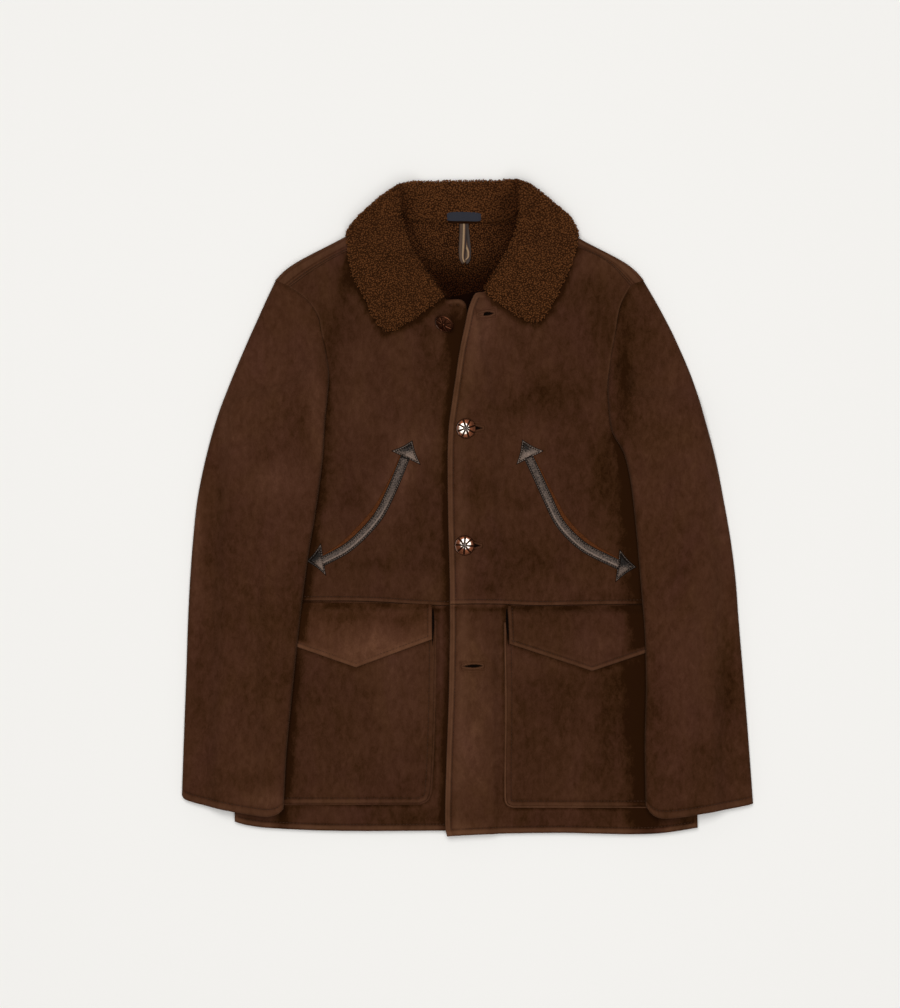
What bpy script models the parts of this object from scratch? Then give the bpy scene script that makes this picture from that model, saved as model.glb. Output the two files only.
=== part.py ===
"""A shearling coat laid flat on its back, front up, collar towards +Y.

The origin is on the surface it lies on, under the middle of its outline. +X is the viewer's right,
which is the wearer's left. Sizes in the tables are millimetres, and the meshes are in metres.
Every panel is a grid between four edges (a Coons patch), with one height above the surface for its
under side and one for its upper side, so that each layer is worked out from the layer below it.
"""

import bpy
import numpy as np

MM = 0.001

# Driving sizes, in millimetres.
WALL = 5.0  # suede with its pile, lying under its own weight
GAP = 0.3  # between pieces that touch
SOFT_EDGE = 1.6  # how far a cut edge is rounded down
BACK_TOP = WALL
FRONT_TOP = 2 * WALL + GAP
LAP = WALL + 2 * GAP  # what the left front rises by, over the right one
LEAF_THICK = 8.0  # collar leaf with its curls
SLEEVE_THICK = 2 * WALL + 1.2
SLEEVE_CROWN = 2.6  # extra thickness in the middle of a sleeve
POCKET_THICK = 3.2
FLAP_THICK = 2.6
WELT_THICK = 2.2
WELT_WIDTH = 9.6
LIP_THICK = 1.0
BUTTON_RADIUS = 12.0
BUTTON_THICK = 4.2
ARROW_THICK = 2.6
LOOP_WIDTH = 15.6
LOOP_THICK = 3.6
LABEL_SIZE = (40.8, 11.0)
LABEL_THICK = 1.0

# Name, base colour, roughness, metallic value.
MATERIALS = {
    "suede": ((0.052, 0.020, 0.009), 0.92, 0.0),
    "shearling_wool": ((0.070, 0.026, 0.008), 0.95, 0.0),
    "grained_leather": ((0.060, 0.040, 0.030), 0.55, 0.0),
    "tan_leather": ((0.160, 0.055, 0.020), 0.60, 0.0),
    "button_metal": ((0.420, 0.300, 0.210), 0.35, 0.9),
    "loop_leather": ((0.110, 0.060, 0.035), 0.60, 0.0),
    "label_cloth": ((0.020, 0.022, 0.032), 0.80, 0.0),
}


# ---------------------------------------------------------------- curves and grids


def step(value):
    """0 below 0, 1 above 1, and a smooth rise between them."""
    value = np.clip(value, 0.0, 1.0)
    return value * value * (3.0 - 2.0 * value)


def curve(points, count):
    """Count points, evenly spaced, on a smooth curve through the given ones (Catmull-Rom)."""
    points = np.array(points, float)
    ends = np.vstack([2 * points[0] - points[1], points, 2 * points[-1] - points[-2]])
    t = np.linspace(0.0, 1.0, 24, endpoint=False)[:, None]
    fine = []
    for a, b, c, d in zip(ends[:-3], ends[1:-2], ends[2:-1], ends[3:]):
        reach = np.linalg.norm(c - b)
        before = (c - a) * reach / max(reach + np.linalg.norm(b - a), 1e-6)
        after = (d - b) * reach / max(reach + np.linalg.norm(d - c), 1e-6)
        fine.append(
            (2 * t**3 - 3 * t**2 + 1) * b
            + (t**3 - 2 * t**2 + t) * before
            + (3 * t**2 - 2 * t**3) * c
            + (t**3 - t**2) * after
        )
    fine = np.vstack(fine + [points[-1:]])
    along = np.concatenate([[0.0], np.cumsum(np.linalg.norm(np.diff(fine, axis=0), axis=1))])
    at = np.linspace(0.0, along[-1], count)
    return np.stack([np.interp(at, along, fine[:, k]) for k in range(fine.shape[1])], axis=1)


def chain(*stretches):
    """Smooth stretches joined end to end, each given as (points, count), with real corners between."""
    parts = [curve(points, count) for points, count in stretches]
    return np.vstack([parts[0]] + [part[1:] for part in parts[1:]])


def respaced(line, at):
    """The same line, with points at the given shares of its length."""
    along = np.concatenate([[0.0], np.cumsum(np.linalg.norm(np.diff(line, axis=0), axis=1))])
    return np.stack([np.interp(at * along[-1], along, line[:, k]) for k in range(2)], axis=1)


def patch(top, bottom, left, right):
    """The Coons grid between four edges. Rows run from top to bottom, columns from left to right."""
    s = np.linspace(0.0, 1.0, len(top))[None, :, None]
    t = np.linspace(0.0, 1.0, len(left))[:, None, None]
    across = (1 - t) * top[None] + t * bottom[None]
    down = (1 - s) * left[:, None] + s * right[:, None]
    corners = (1 - t) * ((1 - s) * top[0] + s * top[-1]) + t * ((1 - s) * bottom[0] + s * bottom[-1])
    return across + down - corners


def with_soft_border(grid, width=3.0):
    """The grid with one more row or column just inside each side, so that the edge can be rounded."""
    for _ in range(2):
        first = grid[1] - grid[0]
        last = grid[-2] - grid[-1]
        size = [np.maximum(np.linalg.norm(d, axis=1, keepdims=True), 1e-6) for d in (first, last)]
        inner = [grid[0] + first * np.minimum(width / size[0], 0.45)]
        outer = [grid[-1] + last * np.minimum(width / size[1], 0.45)]
        grid = np.concatenate([grid[:1], inner, grid[1:-1], outer, grid[-1:]])
        grid = grid.transpose(1, 0, 2)
    return grid


# ---------------------------------------------------------------- objects


def material(name):
    found = bpy.data.materials.get(name)
    if found:
        return found
    colour, roughness, metallic = MATERIALS[name]
    made = bpy.data.materials.new(name)
    made.use_nodes = True
    made.diffuse_color = (*colour, 1.0)
    shader = made.node_tree.nodes["Principled BSDF"]
    shader.inputs["Base Color"].default_value = (*colour, 1.0)
    shader.inputs["Roughness"].default_value = roughness
    shader.inputs["Metallic"].default_value = metallic
    return made


def mesh_object(name, points, faces, finish):
    """An object from points in millimetres and lists of faces."""
    mesh = bpy.data.meshes.new(name)
    mesh.from_pydata((np.asarray(points) * MM).tolist(), [], [list(map(int, f)) for f in faces])
    mesh.materials.append(material(finish))
    mesh.shade_smooth()
    mesh.set_sharp_from_angle(angle=np.radians(40))
    made = bpy.data.objects.new(name, mesh)
    bpy.context.scene.collection.objects.link(made)
    return made


def facing_up(grid):
    """True if a grid's rows and columns turn anticlockwise seen from above."""
    side = grid[0, -1] - grid[0, 0]
    down = grid[-1, 0] - grid[0, 0]
    return side[0] * down[1] - side[1] * down[0] > 0


def slab(name, grid, low, high, finish, soft=SOFT_EDGE):
    """A closed panel over a grid, between the heights low and high, with its border rounded by soft."""
    if not facing_up(grid):
        grid, low, high = grid[::-1], low[::-1], high[::-1]
    low, high = low.copy(), high.copy()
    border = np.zeros(low.shape, bool)
    border[[0, -1]] = border[:, [0, -1]] = True
    room = np.minimum(soft, 0.4 * (high - low))
    low[border] += room[border] * 0.6
    high[border] -= room[border]
    rows, columns = low.shape
    flat = grid.reshape(-1, 2)
    points = np.vstack([np.c_[flat, high.ravel()], np.c_[flat, low.ravel()]])
    index = np.arange(rows * columns).reshape(rows, columns)
    a, b, c, d = index[:-1, :-1], index[:-1, 1:], index[1:, 1:], index[1:, :-1]
    upper = np.stack([a, b, c, d], axis=-1).reshape(-1, 4)
    under = upper[:, ::-1] + rows * columns
    ring = np.concatenate([index[0, :-1], index[:-1, -1], index[-1, :0:-1], index[:0:-1, 0]])
    after = np.roll(ring, -1)
    wall = np.stack([after, ring, ring + rows * columns, after + rows * columns], axis=-1)
    return mesh_object(name, points, [*upper, *under, *wall], finish)


def union(base, others):
    """Joins plates that overlap into one body, which keeps the name of the first."""
    for other in others:
        other.hide_render = True
        other.display_type = "WIRE"
        joint = base.modifiers.new(other.name, "BOOLEAN")
        joint.operation = "UNION"
        joint.object = other
    return base


# ---------------------------------------------------------------- heights of the layers

# The fall's lower edge, hidden under the back: how low it hangs in the middle, and its half width.
FALL_MIDDLE_Y, FALL_HALF, NECK_X = 294.0, 140.0, -6.0
LIFT_RAMP = 44.0
LAYER_SLACK, SLACK_REACH = 0.8, 40.0  # extra room between the layers round the neck


def fall_edge(x):
    out = np.abs(x - NECK_X) / FALL_HALF
    return FALL_MIDDLE_Y + 22.0 * out**2 + 12.0 * out**8


def lift(x, y, layer=0):
    """How far a layer near the neck is raised by the collar's fall under the back, 0 being the back."""
    below = y - fall_edge(x) + LIFT_RAMP
    beside = FALL_HALF + 32.0 - np.abs(x - NECK_X)
    share = step(below / LIFT_RAMP) * step(beside / 32.0)
    loose = step((below + SLACK_REACH) / SLACK_REACH) * step((beside + SLACK_REACH) / SLACK_REACH)
    return (WALL + GAP) * share + layer * LAYER_SLACK * loose


# The right front's hidden edge, under the left front: y and x down from the neck.
UNDER_X = 22.4
UNDER_EDGE = [
    (-1.8, 246.0), (3.0, 213.6), (14.4, 153.6), (UNDER_X, 96.0), (UNDER_X, -44.4), (UNDER_X, -388.0),
]
LAP_CLEAR, LAP_RAMP = 5.0, 14.0
BUMP_REACH, BUMP_RAMP = 46.0, 24.0  # the left front's rise over the hidden button

BUTTONS = (  # name, x, y, tilt about Y in degrees
    ("button_1", -27.6, 221.4, -30.0),
    ("button_2", -1.8, 95.4, 0.0),
    ("button_3", -3.5, -44.8, 0.0),
    ("button_4", -1.8, -189.6, 0.0),
)
FASTENED = ("button_2", "button_3")  # through the left front; the others lie on the right one


def lap(x, y):
    """How far the left front is raised where it lies over the right one and its hidden button."""
    edge = np.interp(-y, [-p[1] for p in UNDER_EDGE], [p[0] for p in UNDER_EDGE])
    over = LAP * step((edge + LAP_CLEAR + LAP_RAMP - x) / LAP_RAMP)
    _, button_x, button_y, _ = BUTTONS[3]
    away = np.hypot(x - button_x, y - button_y)
    return over + (BUTTON_THICK + GAP) * step((BUMP_REACH - away) / BUMP_RAMP)


def front_top(x, y, side):
    """The upper side of a front. Side is -1 for the wearer's right, on the viewer's left, and 1 for the left."""
    return FRONT_TOP + lift(x, y, 1) + (lap(x, y) if side > 0 else 0.0)


# Patch pockets and flaps lie between a lower front and the sleeve, out to this far from the middle.
POCKET_OUTER = {-1: -229.8, 1: 255.0}
POCKET_TOP_Y = -108.0


def under_sleeve(x, y, side):
    """What a sleeve rests on over the body: the front, and lower down the pocket and flap too."""
    beyond = (np.abs(x) - abs(POCKET_OUTER[side])) / 22.0
    pocket = step(1.3 - beyond) * step((POCKET_TOP_Y + 36.0 - y) / 30.0)
    return FRONT_TOP + GAP + pocket * (POCKET_THICK + FLAP_THICK + 2 * GAP)


# ---------------------------------------------------------------- outlines

SHOULDER = {
    -1: [(-231.0, 273.6), (-219.0, 285.6), (-201.0, 297.6), (-154.2, 321.6), (-108.6, 344.4), (-82.0, 356.0)],
    1: [(66.0, 356.0), (93.0, 343.8), (137.4, 321.6), (184.2, 297.6), (201.0, 285.6), (211.8, 273.6)],
}
SHOULDER_SEAM = {
    -1: [(-226.5, 270.0), (-210.6, 271.5), (-191.4, 284.4), (-171.0, 297.6), (-119.4, 319.2), (-90.6, 332.4)],
    1: [(72.6, 336.5), (101.4, 324.0), (133.8, 312.2), (173.4, 296.4), (192.0, 282.5), (206.5, 269.5)],
}
BACK_NECK = [
    (-82.0, 356.0), (-70.2, 345.4), (-51.0, 341.0), (-0.6, 340.0), (39.0, 341.2), (54.0, 346.0),
    (66.0, 356.0),
]
BACK_HEM = [(-279.6, -374.0), (-120.0, -384.0), (0.0, -385.0), (120.0, -384.0), (276.4, -380.0)]
ARMHOLE = {
    -1: [
        (-226.5, 270.0), (-215.4, 265.0), (-199.8, 255.0), (-187.8, 243.0), (-179.4, 228.6),
        (-176.0, 210.0), (-170.6, 187.2), (-168.0, 163.2), (-168.8, 143.0), (-182.0, 120.0),
        (-210.0, 104.0), (-264.6, 93.6),
    ],
    1: [
        (206.5, 269.5), (199.8, 263.0), (193.2, 255.0), (188.6, 246.6), (184.0, 234.0), (178.4, 211.2),
        (173.2, 184.0), (170.0, 153.0), (169.8, 128.0), (177.0, 107.0), (200.0, 96.0), (267.0, 93.6),
    ],
}
SIDE = {
    -1: [(-264.6, 93.6), (-269.4, -14.4), (-274.2, -158.4), (-277.8, -278.4), (-279.6, -376.8)],
    1: [(267.0, 93.6), (270.6, -14.4), (274.2, -158.4), (275.4, -278.4), (276.4, -384.0)],
}
WAIST = {
    -1: [(-272.2, -111.0), (-195.0, -111.6), (-117.0, -112.4), (-40.2, -117.0), (UNDER_X, -117.6)],
    1: [(-21.4, -115.6), (27.0, -115.2), (84.6, -117.4), (135.0, -116.6), (208.2, -115.6), (272.8, -114.6)],
}
NECK_FRONT = {
    -1: [(-90.6, 332.4), (-81.0, 312.0), (-67.8, 292.8), (-51.0, 272.4), (-33.0, 255.0), (-24.6, 250.2)],
    1: [(72.6, 336.5), (64.2, 315.6), (54.6, 298.8), (39.0, 277.2), (25.8, 262.6), (18.6, 259.4)],
}
FRONT_EDGE = [
    (18.6, 259.4), (9.6, 258.0), (4.2, 248.4), (0.6, 237.6), (-3.5, 218.4), (-9.7, 188.4), (-14.5, 156.0),
    (-19.3, 123.6), (-22.8, 96.0), (-24.1, 58.8), (-23.4, -14.4), (-21.4, -91.2), (-21.4, -115.6),
]
LOWER_EDGE = [
    (-21.4, -115.6), (-21.4, -152.4), (-22.8, -229.2), (-25.8, -313.2), (-27.0, -381.6), (-24.6, -394.0),
]
HEM = {
    -1: [
        (-279.6, -376.8), (-267.0, -380.4), (-243.0, -384.0), (-165.0, -387.6), (-28.2, -387.6),
        (UNDER_X, -387.6),
    ],
    1: [
        (-24.6, -394.0), (24.6, -391.6), (111.0, -390.2), (159.0, -391.2), (204.6, -391.8), (237.0, -390.0),
        (276.4, -384.0),
    ],
}
HEAD_POINTS = 10  # on the armhole seam, the same ones for the front, the back and the sleeve
HEAD_ROWS = 6  # of the armhole table, down to where the sleeve starts to lie on the front
# Where the columns of a front stand, from its side to its front edge.
PLAIN_COLUMNS = np.linspace(0.0, 1.0, 10)
LAP_COLUMNS = np.array([0.0, 0.2, 0.4, 0.6, 0.72, 0.775, 0.8, 0.83, 0.86, 0.9, 0.95, 1.0])


def across(count=HEAD_POINTS):
    """Places from -1 to 1 across a flattened tube, closer together near both ends."""
    even = np.linspace(-1.0, 1.0, count)
    return 0.55 * even + 0.45 * np.sin(even * np.pi / 2)


def head_line(side):
    """The armhole seam from the shoulder down to where the sleeve leaves it."""
    return respaced(curve(ARMHOLE[side][:HEAD_ROWS], 60), (across() + 1) / 2)


def armhole(side):
    return np.vstack([head_line(side)[:-1], curve(ARMHOLE[side][HEAD_ROWS - 1 :], 8)])


# ---------------------------------------------------------------- body panels


def back():
    """One panel from the neck seam to the hem, with its shoulder edges folded forward to the seam."""
    top = chain((SHOULDER[-1], 7), (BACK_NECK, 8), (SHOULDER[1], 7))
    left = np.vstack([SHOULDER[-1][:1], armhole(-1), curve(SIDE[-1][:-1] + BACK_HEM[:1], 6)[1:]])
    right = np.vstack([SHOULDER[1][-1:], armhole(1), curve(SIDE[1][:-1] + BACK_HEM[-1:], 6)[1:]])
    grid = with_soft_border(patch(top, curve(BACK_HEM, len(top)), left, right))
    low = lift(grid[..., 0], grid[..., 1])
    panel = slab("back", grid, low, low + BACK_TOP, "suede")
    rims = []
    for side in (-1, 1):
        ridge, seam = curve(SHOULDER[side], 8), curve(SHOULDER_SEAM[side], 8)
        seam = seam + (ridge - seam) * 0.08  # so that it stops short of the front
        ends = [np.linspace(ridge[k], seam[k], 3) for k in (0, -1)]
        rim = patch(ridge, seam, *ends)
        x, y = rim[..., 0], rim[..., 1]
        rims.append(slab(f"shoulder_{side}", rim, lift(x, y) + 1.5, FRONT_TOP + lift(x, y, 1), "suede"))
    return union(panel, rims)


def front_grid(side, top, bottom, outer, inner):
    """A front's grid, its columns running from the side to the front edge whichever side it is on."""
    columns = LAP_COLUMNS if side > 0 else PLAIN_COLUMNS
    return with_soft_border(patch(respaced(top, columns), respaced(bottom, columns), outer, inner))


def upper_front(side):
    """From the shoulder seam to the waist seam; the left one laps over the right one."""
    waist = curve(WAIST[side], 60) + (0.0, GAP)
    seam = curve(SHOULDER_SEAM[side], 60)
    if side < 0:
        edge = [(-24.6, 250.2), (-8.0, 250.4), (-1.8, 246.0)]
        down = [*UNDER_EDGE[:4], (UNDER_X, -44.4), tuple(waist[-1])]
        outer_end = waist[0]
    else:
        seam, waist = seam[::-1], waist[::-1]
        edge, down, outer_end = FRONT_EDGE[:3], [*FRONT_EDGE[2:-1], tuple(waist[-1])], waist[0]
    outer = np.vstack([armhole(side), curve([SIDE[side][0], SIDE[side][1], outer_end], 6)[1:]])
    inner = chain((NECK_FRONT[side], 6), (edge, 4), (down, len(outer) - 8))
    grid = front_grid(side, seam, waist, outer, inner)
    high = front_top(grid[..., 0], grid[..., 1], side)
    name = "front_upper_right" if side < 0 else "front_upper_left"
    return slab(name, grid, high - WALL, high, "suede")


def lower_front(side):
    """From the waist seam to the hem."""
    waist, hem = curve(WAIST[side], 60), curve(HEM[side], 60)
    if side > 0:
        waist, hem = waist[::-1], hem[::-1]
    outer = curve([tuple(waist[0]), *SIDE[side][2:]], 12)
    inner = curve([(UNDER_X, -117.6), (UNDER_X, -250.0), (UNDER_X, -387.6)] if side < 0 else LOWER_EDGE, 12)
    grid = front_grid(side, waist, hem, outer, inner)
    high = front_top(grid[..., 0], grid[..., 1], side)
    name = "front_lower_right" if side < 0 else "front_lower_left"
    return slab(name, grid, high - WALL, high, "suede")


# ---------------------------------------------------------------- sleeves

# Each row is one section: the outer end and the inner end of the flattened tube.
SLEEVE = {
    -1: (  # outer_x, outer_y, inner_x, inner_y
        (-227.0, 270.0, -176.6, 210.0),
        (-241.8, 249.6, -171.6, 187.0),
        (-252.6, 225.6, -169.0, 163.0),
        (-263.4, 201.6, -169.4, 138.0),
        (-283.8, 153.6, -171.0, 101.0),
        (-301.8, 105.6, -172.8, 66.0),
        (-315.0, 57.6, -177.0, 30.0),
        (-324.6, 9.6, -183.0, -12.0),
        (-329.8, -38.4, -190.4, -55.0),
        (-333.4, -86.4, -197.0, -106.0),
        (-335.8, -134.4, -203.0, -156.0),
        (-338.2, -206.4, -210.6, -230.4),
        (-340.6, -270.4, -216.4, -290.0),
        (-343.2, -345.0, -220.2, -360.0),
    ),
    1: (
        (207.0, 269.5, 179.0, 211.2),
        (225.0, 249.6, 174.2, 184.0),
        (238.2, 225.6, 171.0, 153.0),
        (250.2, 201.6, 170.8, 128.0),
        (270.6, 153.6, 173.0, 92.0),
        (285.0, 105.6, 187.0, 66.0),
        (298.2, 57.6, 195.0, 33.6),
        (307.8, 9.6, 200.4, -10.0),
        (316.2, -38.4, 204.6, -55.0),
        (322.2, -86.4, 208.6, -106.0),
        (325.8, -134.4, 212.0, -150.0),
        (331.8, -206.4, 213.6, -215.0),
        (337.0, -270.4, 212.0, -280.0),
        (343.2, -355.0, 213.2, -356.0),
    ),
}
SLEEVE_STATIONS = 24
HEAD_REACH = 0.2  # the share of the sleeve over which its sections straighten from the armhole seam
CUFF_BOW = 9.0
RISE = {-1: (190.0, 148.0), 1: (172.0, 134.0)}  # inner-end y between which a sleeve climbs on to the front
SEAM_GAP = 0.5  # between the sleeve's head and the armhole
DROP_REACH, DROP_RAMP = 38.0, 25.0  # a sleeve comes down to the surface between these beyond the body
LOW_ARMHOLE_SHIFT = 18.0


def distance_inside(points, outline):
    """Distance in from a closed outline, negative outside it."""
    a, b = outline, np.roll(outline, -1, axis=0)
    edge, to = (b - a)[None], points[:, None] - a[None]
    share = np.clip((to * edge).sum(-1) / np.maximum((edge**2).sum(-1), 1e-9), 0, 1)
    away = np.linalg.norm(to - share[..., None] * edge, axis=-1).min(axis=1)
    crosses = (a[None, :, 1] > points[:, None, 1]) != (b[None, :, 1] > points[:, None, 1])
    rise = np.where(np.abs(b - a)[:, 1] < 1e-9, 1e-9, (b - a)[:, 1])
    at = a[:, 0] + (points[:, None, 1] - a[:, 1]) * (b - a)[:, 0] / rise
    inside = ((crosses & (points[:, None, 0] < at)).sum(axis=1) % 2) == 1
    return np.where(inside, away, -away)


def sleeve(side):
    """A flattened tube with an open armhole end and an open cuff. Its inner half lies on the body."""
    table = np.array(SLEEVE[side])
    outer, inner = curve(table[:, :2], SLEEVE_STATIONS), curve(table[:, 2:], SLEEVE_STATIONS)
    low_armhole = curve(ARMHOLE[side][HEAD_ROWS - 1 :], 20) + (0.0, LOW_ARMHOLE_SHIFT)
    middle = [(0.0, -384.0), (0.0, 270.0)]
    body = np.vstack([head_line(side), low_armhole, curve(SIDE[side], 30)[1:], middle])
    u = np.linspace(0.0, 1.0, SLEEVE_STATIONS)
    cuff = CUFF_BOW * np.maximum(0.0, (u - 0.7) / 0.3) ** 2
    head = np.maximum(0.0, 1.0 - u / HEAD_REACH) ** 2
    seam = head_line(side)
    way = np.gradient(seam, axis=0)
    way /= np.linalg.norm(way, axis=1, keepdims=True)
    away = np.stack([way[:, 1], -way[:, 0]], axis=1) * -side
    seam = seam + away * SEAM_GAP
    s = across()
    rings = []
    for inset in (0.0, WALL):
        half = np.linalg.norm(inner - outer, axis=1) / 2
        along = (inner - outer) / (2 * half[:, None])
        place = s[None] * ((half - inset) / half)[:, None]
        xy = (inner + outer)[:, None] / 2 + along[:, None] * (half[:, None] * place)[..., None]
        at_head = respaced(seam, (s * (half[0] - inset) / half[0] + 1) / 2)
        xy = xy + (at_head - xy[0])[None] * head[:, None, None]
        xy[..., 1] -= (1 - s[None] ** 2) * cuff[:, None]
        flat = xy.reshape(-1, 2)
        on_body = step((distance_inside(flat, body) + DROP_REACH) / DROP_RAMP).reshape(xy.shape[:2])
        climb = step((RISE[side][0] - inner[:, 1]) / (RISE[side][0] - RISE[side][1]))[:, None]
        base = on_body * climb * (under_sleeve(xy[..., 0], xy[..., 1], side) + GAP)
        level = base + SLEEVE_THICK / 2
        crown = SLEEVE_CROWN * (1 - s**2)[None] + np.zeros_like(base)
        radius = SLEEVE_THICK / 2 - inset
        round_off = np.clip(((np.abs(place) - 1) * half[:, None] + inset + radius) / radius, 0, 1)
        thick = radius * np.sqrt(np.maximum(1 - round_off**2, 0.0))
        high = level + thick + (crown if inset == 0 else 0.6 * crown)
        low = level - thick
        ring = np.concatenate([np.dstack([xy, high]), np.dstack([xy, low])[:, -2:0:-1]], axis=1)
        rings.append(ring)
    stations, around = rings[0].shape[:2]
    points = np.vstack([ring.reshape(-1, 3) for ring in rings])
    index = np.arange(stations * around).reshape(stations, around)
    nxt = np.roll(index, -1, axis=1)
    skin = np.stack([index[:-1], index[1:], nxt[1:], nxt[:-1]], axis=-1).reshape(-1, 4)
    lining = skin[:, ::-1] + stations * around
    ends = []
    for row, turn in ((0, 1), (-1, -1)):
        a, b = index[row], nxt[row]
        ends.append(np.stack([a, b, b + stations * around, a + stations * around], axis=-1)[:, ::turn])
    faces = np.vstack([skin, lining, *ends])
    if side > 0:
        faces = faces[:, ::-1]
    return mesh_object("sleeve_right" if side < 0 else "sleeve_left", points, faces, "suede")


# ---------------------------------------------------------------- collar

LEAF_OUTER = {
    -1: [
        (-82.2, 388.0), (-100.2, 375.6), (-114.6, 363.6), (-127.8, 351.6), (-138.6, 339.6), (-144.6, 327.6),
        (-138.6, 282.0), (-124.2, 253.2), (-109.8, 224.4), (-99.0, 210.0),
    ],
    1: [
        (75.0, 388.8), (91.8, 375.6), (106.2, 363.6), (120.6, 351.6), (129.0, 339.6), (132.6, 328.8),
        (131.4, 314.4), (124.2, 290.4), (109.8, 259.2), (95.0, 232.4), (81.0, 221.4),
    ],
}
LEAF_LOWER = {
    -1: [(-99.0, 210.0), (-82.2, 216.0), (-61.8, 228.0), (-41.4, 242.4), (-25.8, 253.2)],
    1: [(81.0, 221.4), (70.2, 225.6), (53.4, 234.0), (33.0, 248.4), (18.6, 261.6)],
}
ROLL = {
    -1: [(-79.8, 357.6), (-76.2, 337.2), (-65.4, 308.4), (-49.8, 285.6), (-33.0, 265.0), (-25.8, 253.2)],
    1: [(63.0, 366.0), (58.2, 337.2), (49.8, 313.2), (33.0, 283.2), (22.6, 268.0), (18.6, 261.6)],
}
STAND_TOP = [(-82.2, 388.0), (-57.0, 392.0), (-0.6, 393.4), (57.0, 393.6), (75.0, 388.8)]
STAND_LOW = [
    (-79.8, 357.6), (-71.0, 347.6), (-51.0, 343.0), (-0.6, 341.2), (39.0, 342.8), (54.0, 349.0),
    (63.0, 366.0),
]
STAND_HALF, STAND_RAMP = 42.0, 22.0  # half of its low middle, and how far it takes to rise to a roll
STAND_HIGH = 2 * WALL + GAP + 2.0
STAND_FOOT_Y = 338.0  # below this the wool is all leaf


def collar_top(x, y):
    """The wool's upper side: low behind the neck, rising to the rolls on both sides of it."""
    rise = step((np.abs(x - NECK_X) - STAND_HALF) / STAND_RAMP)
    leaf = FRONT_TOP + lift(x, y, 2) + GAP + LEAF_THICK
    return np.where(y > STAND_FOOT_Y, STAND_HIGH + (leaf - STAND_HIGH) * rise, leaf)


def collar():
    """Stand, leaves and fall in one piece, wool outside, folded along its upper edge."""
    outline = chain((LEAF_OUTER[-1][::-1], 14), (STAND_TOP, 14), (LEAF_OUTER[1], 14))
    neck = chain((ROLL[-1][::-1], 14), (STAND_LOW, 14), (ROLL[1], 14))
    grid = patch(outline, neck, curve(LEAF_LOWER[-1], 7), curve(LEAF_LOWER[1], 7))
    grid = with_soft_border(grid, 3.5)
    x, y = grid[..., 0], grid[..., 1]
    high = collar_top(x, y)
    slack = lift(x, y, 1) - lift(x, y)
    rest = np.where(x < 0.0, front_top(x, y, -1), front_top(x, y, 1)) + GAP + slack
    wool = slab("collar", grid, np.minimum(rest, high - 3.0), high, "shearling_wool", 3.4)

    plates = []
    right_top = curve([(-143.0, 328.6), *LEAF_OUTER[-1][4:0:-1]], 10)
    left_top = curve([*LEAF_OUTER[1][1:5], (130.6, 329.6)], 10)
    top = respaced(np.vstack([right_top, curve(STAND_TOP, 10), left_top]), np.linspace(0, 1, 20))
    top = top * (0.985, 1.0) - (0.0, 2.0)
    low = top.copy()
    low[:, 1] = np.minimum(fall_edge(top[:, 0]) + 4.0, top[:, 1] - 2.0)
    fall = patch(top, low, np.linspace(top[0], low[0], 5), np.linspace(top[-1], low[-1], 5))
    zero = np.zeros(fall.shape[:2])
    plates.append(slab("fall", fall, zero, zero + WALL - 0.6, "shearling_wool", 0.8))

    # The stand's own thickness, down to the fall.
    upper, seam = curve(STAND_TOP, 12) * (0.97, 1.0) - (0.0, 3.0), curve(STAND_LOW, 12) + (0.0, 0.6)
    stand = patch(upper, seam, np.linspace(upper[0], seam[0], 4), np.linspace(upper[-1], seam[-1], 4))
    high = collar_top(stand[..., 0], stand[..., 1]) - 1.5
    plates.append(slab("stand", stand, np.full(high.shape, 2.5), high, "shearling_wool"))

    for side in (-1, 1):
        # Beyond the shoulder there is no panel, so the leaf goes down to the fall.
        ridge = curve(SHOULDER[side][3:] if side < 0 else SHOULDER[side][:3], 9) + (0.0, 2.0)
        ridge = ridge[(ridge[:, 0] > -138.0) & (ridge[:, 0] < 124.0)]
        fold = np.array(sorted(LEAF_OUTER[side][:6]))
        edge = np.c_[ridge[:, 0], np.interp(ridge[:, 0], fold[:, 0], fold[:, 1]) - 3.0]
        edge[:, 1] = np.clip(edge[:, 1], ridge[:, 1] + 1.5, 384.0)
        fill = patch(edge, ridge, np.linspace(edge[0], ridge[0], 3), np.linspace(edge[-1], ridge[-1], 3))
        middle = front_top(fill[..., 0], fill[..., 1], side) + GAP + 2.5
        base = np.full(middle.shape, 2.2)
        plates.append(slab(f"fill_{side}", fill, base, middle, "shearling_wool", 0.5))
        # Inside the roll the leaf goes down to the neck seam.
        neck_edge, roll = curve(NECK_FRONT[side], 12)[1:-2], curve(ROLL[side], 12)[1:-2]
        way = neck_edge - roll
        room = np.linalg.norm(way, axis=1, keepdims=True)
        far, near = roll + way * np.maximum((room - 1.8) / room, 0.3), roll + way * 0.12
        stem = patch(near, far, np.linspace(near[0], far[0], 3), np.linspace(near[-1], far[-1], 3))
        x, y = stem[..., 0], stem[..., 1]
        low, high = lift(x, y) + BACK_TOP + 0.8, front_top(x, y, side) + GAP + 2.5
        plates.append(slab(f"roll_{side}", stem, low, high, "shearling_wool", 0.5))
    return union(wool, plates)


# ---------------------------------------------------------------- chest pockets

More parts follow.
